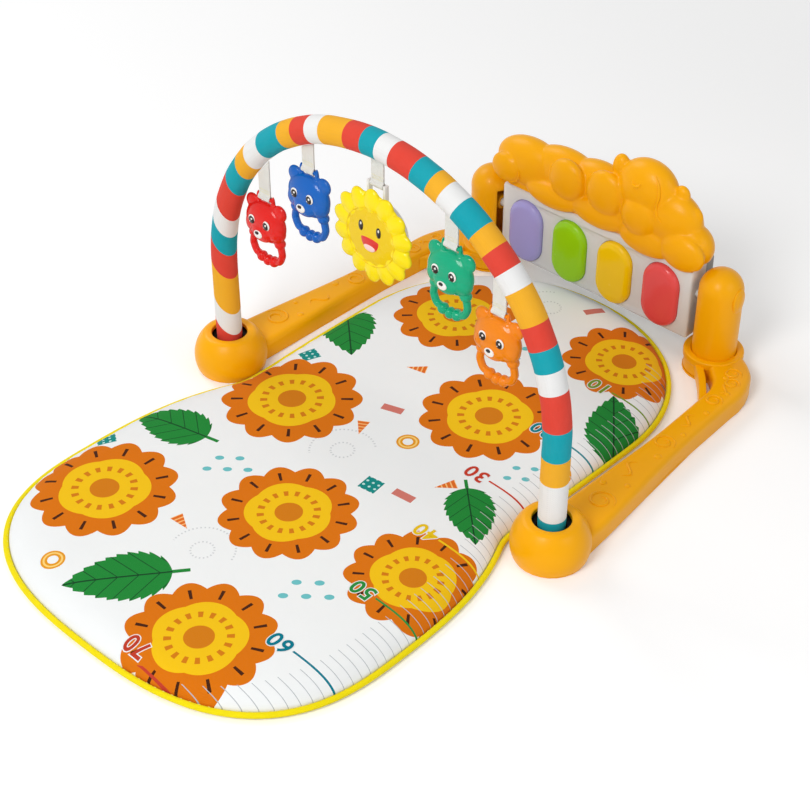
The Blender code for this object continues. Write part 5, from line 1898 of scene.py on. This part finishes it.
def build_whites():
    """The whites of the eyes and the pale snout."""
    bm = bmesh.new()
    for x, z in EYES:
        lump(bm, (x, face_depth(x, z), z), EYE_R)
    lump(bm, SNOUT, SNOUT_R)
    return bm


def build_darks():
    """Pupils and nose."""
    bm = bmesh.new()
    for x, z in EYES:
        lump(bm, (x * EYE_CLOSE, face_depth(x, z) - PUPIL_OUT, z - PUPIL_LOW), PUPIL_R)
    lump(bm, NOSE, NOSE_R)
    return bm


def build_glints():
    """A large and a small glint in each eye, as painted highlights."""
    bm = bmesh.new()
    for x, z in EYES:
        front = face_depth(x, z) - GLINT_OUT
        for (right, up), radii, around, along in GLINTS:
            lump(bm, (x * EYE_CLOSE + right, front, z + up), radii, around, along)
    return bm


for toy in ("red", "blue", "green", "orange"):
    bar = hang(toy)[2]
    body, slot, name = toy + "_toy", toy + "_rattle", toy + "_rattle"
    shells = [name + "_front", name + "_back"]
    piece(toy + "_head", moved(build_head(), bar), toy_plastic[toy], body, slot, shells, 60)
    piece(toy + "_loop", moved(build_loop(), bar), toy_plastic[toy], body, slot, [name + "_ring"], 60)
    piece(toy + "_eye_whites", moved(build_whites(), bar), white_paint_and_glints, body, "toy_white")
    piece(toy + "_eye_darks", moved(build_darks(), bar), black_paint, body, "speaker_black")
    piece(toy + "_eye_glints", moved(build_glints(), bar), white_paint_and_glints, body, "toy_white")

# %% [markdown]
# ## The sunflower
# A laughing sunflower hangs in the middle. Fourteen puffy petals are melted onto a disc, and the face is a
# spun disc with a raised rim. Behind sits a white rattle case with the two prongs of the strap's bar.
# All of it is made lying down, where spinning is simple, and then stood up.

# %% Sunflower
PETALS, PETAL_SIZE, PETAL_PLACE = 14, (0.0145, 0.0104, 0.0046), (0.0368, 0, 0.0076)
FLOWER_DROP = 0.053
# Radius and depth of each corner
PETAL_DISC = ((0, 0.0046), (0.040, 0.0046), (0.046, 0.0052), (0.046, 0.0074), (0, 0.0074))
FACE_RIM = ((0, 0.0078), (0.0318, 0.0078), (0.0318, 0.0114), (0.0306, 0.0120), (0.0298, 0.0108))
CASE = ((0, -0.0108), (0.031, -0.0108), (0.035, 0.0036), (0.035, 0.0042), (0, 0.0042))
FACE_LOW, FACE_RISE, RIM_EDGE, CASE_EDGE = 0.0106, 0.0014, 0.0010, 0.0030
# The case's two prongs start over the flower's middle and end a little over the bar
PRONG_HALF, PRONG_FRONT, PRONG_BACK, PRONG_EDGE = 0.0015, -0.0030, 0.0026, 0.0006
PRONG_FOOT, PRONG_TOP = 0.029, 0.0026
FLOWER_BAR = hang("sunflower")[2]
FLOWER = FLOWER_BAR - Vector((0, 0, FLOWER_DROP))


def stand_up(bm):
    """Turns a shape spun about Z so that its top faces the front, and puts it in place."""
    bmesh.ops.rotate(bm, matrix=Matrix.Rotation(math.pi / 2, 3, "X"), verts=bm.verts)
    return moved(bm, FLOWER)


def build_petals():
    bm = turned(PETAL_DISC, 56)
    for i in range(PETALS):
        angle = 2 * math.pi * (i + 0.5) / PETALS
        turn = Matrix.Rotation(angle, 4, "Z")
        place = turn @ Matrix.Translation(PETAL_PLACE) @ Matrix.Diagonal((*PETAL_SIZE, 1))
        bmesh.ops.create_uvsphere(bm, u_segments=32, v_segments=20, radius=1, matrix=place)
    return stand_up(grown_together(bm, TOY_VOXEL, 2))


def build_flower_face():
    """A raised rim round a low dome."""
    radius = FACE_RIM[-1][0]
    turns = [math.pi / 2 * i / 12 for i in range(1, 12)]
    dome = [(radius * math.cos(a), FACE_LOW + FACE_RISE * math.sin(a)) for a in turns]
    profile = rounded(FACE_RIM, RIM_EDGE) + dome + [(0, FACE_LOW + FACE_RISE)]
    return stand_up(turned(profile, 72))


def build_flower_case():
    """The turned case behind the petals, its two prongs and the bar between them."""
    bm = stand_up(turned([CASE[0]] + rounded(CASE, CASE_EDGE)[1:], 64))
    half = Vector((BAR_HALF, 0, 0))
    for side in (-1, 1):
        x = FLOWER_BAR.x + side * BAR_HALF
        low = (x - PRONG_HALF, PRONG_FRONT, FLOWER.z + PRONG_FOOT)
        block(bm, low, (x + PRONG_HALF, PRONG_BACK, FLOWER_BAR.z + PRONG_TOP), PRONG_EDGE)
    rod(bm, FLOWER_BAR - half, FLOWER_BAR + half, BAR_R, 20)
    return bm


petals, face = build_petals(), build_flower_face()
piece("flower_petals", petals, petal_plastic, "flower_toy", "petal_yellow", ["sunflower_petals"], 60)
piece("flower_face", face, flower_face_plastic, "flower_toy", "face_yellow", ["sunflower_face"])
piece("flower_case", build_flower_case(), white_plastic, "flower_toy", "toy_white", ["sunflower_back"])

# %% [markdown]
# ## The sunflower's smile
# Eyes, mouth and tongue are low painted lumps on the face, like those of the rattles, and the white glints
# on the eyes are painted highlights. The open mouth is one lump whose upper half is pressed nearly flat.

# %% Sunflower smile
FACE_FRONT, PAINT_LIFT = 0.0117, 0.0008
SMILE, SMILE_R, SMILE_PRESS = Vector((0, -0.0115, -0.0025)), (0.0118, 0.0017, 0.01298), 0.16


def face_lumps(spots, radii, lift=0.0):
    """Low painted lumps of one size, at (x, z) places on the flower's face."""
    bm = bmesh.new()
    for x, z in spots:
        lump(bm, FLOWER + Vector((x, -FACE_FRONT - lift, z)), radii, 28, 16)
    return bm


def build_smile():
    """An open mouth: a low lump whose upper half is pressed nearly flat."""
    bm = bmesh.new()
    for vert in lump(bm, (0, 0, 0), SMILE_R, 36, 20):
        if vert.co.z > 0:
            vert.co.z *= SMILE_PRESS
    return moved(bm, FLOWER + SMILE)


eyes = face_lumps(((-0.0115, 0.0095), (0.0115, 0.0095)), (0.0031, 0.0012, 0.0058))
tongue = face_lumps(((0, -0.0110),), (0.0072, 0.0012, 0.0038), PAINT_LIFT)
glints = face_lumps(((-0.0108, 0.0122), (0.0122, 0.0122)), (0.0010, 0.0007, 0.0016), PAINT_LIFT)
piece("flower_eyes", eyes, black_paint, "flower_toy", "speaker_black")
piece("flower_mouth", build_smile(), mouth_paint, "flower_toy", "red_rattle")
piece("flower_tongue", tongue, tongue_paint, "flower_toy", "toy_white")
piece("flower_glints", glints, white_paint_and_glints, "flower_toy", "toy_white")

# %% Finish
print("scene built")
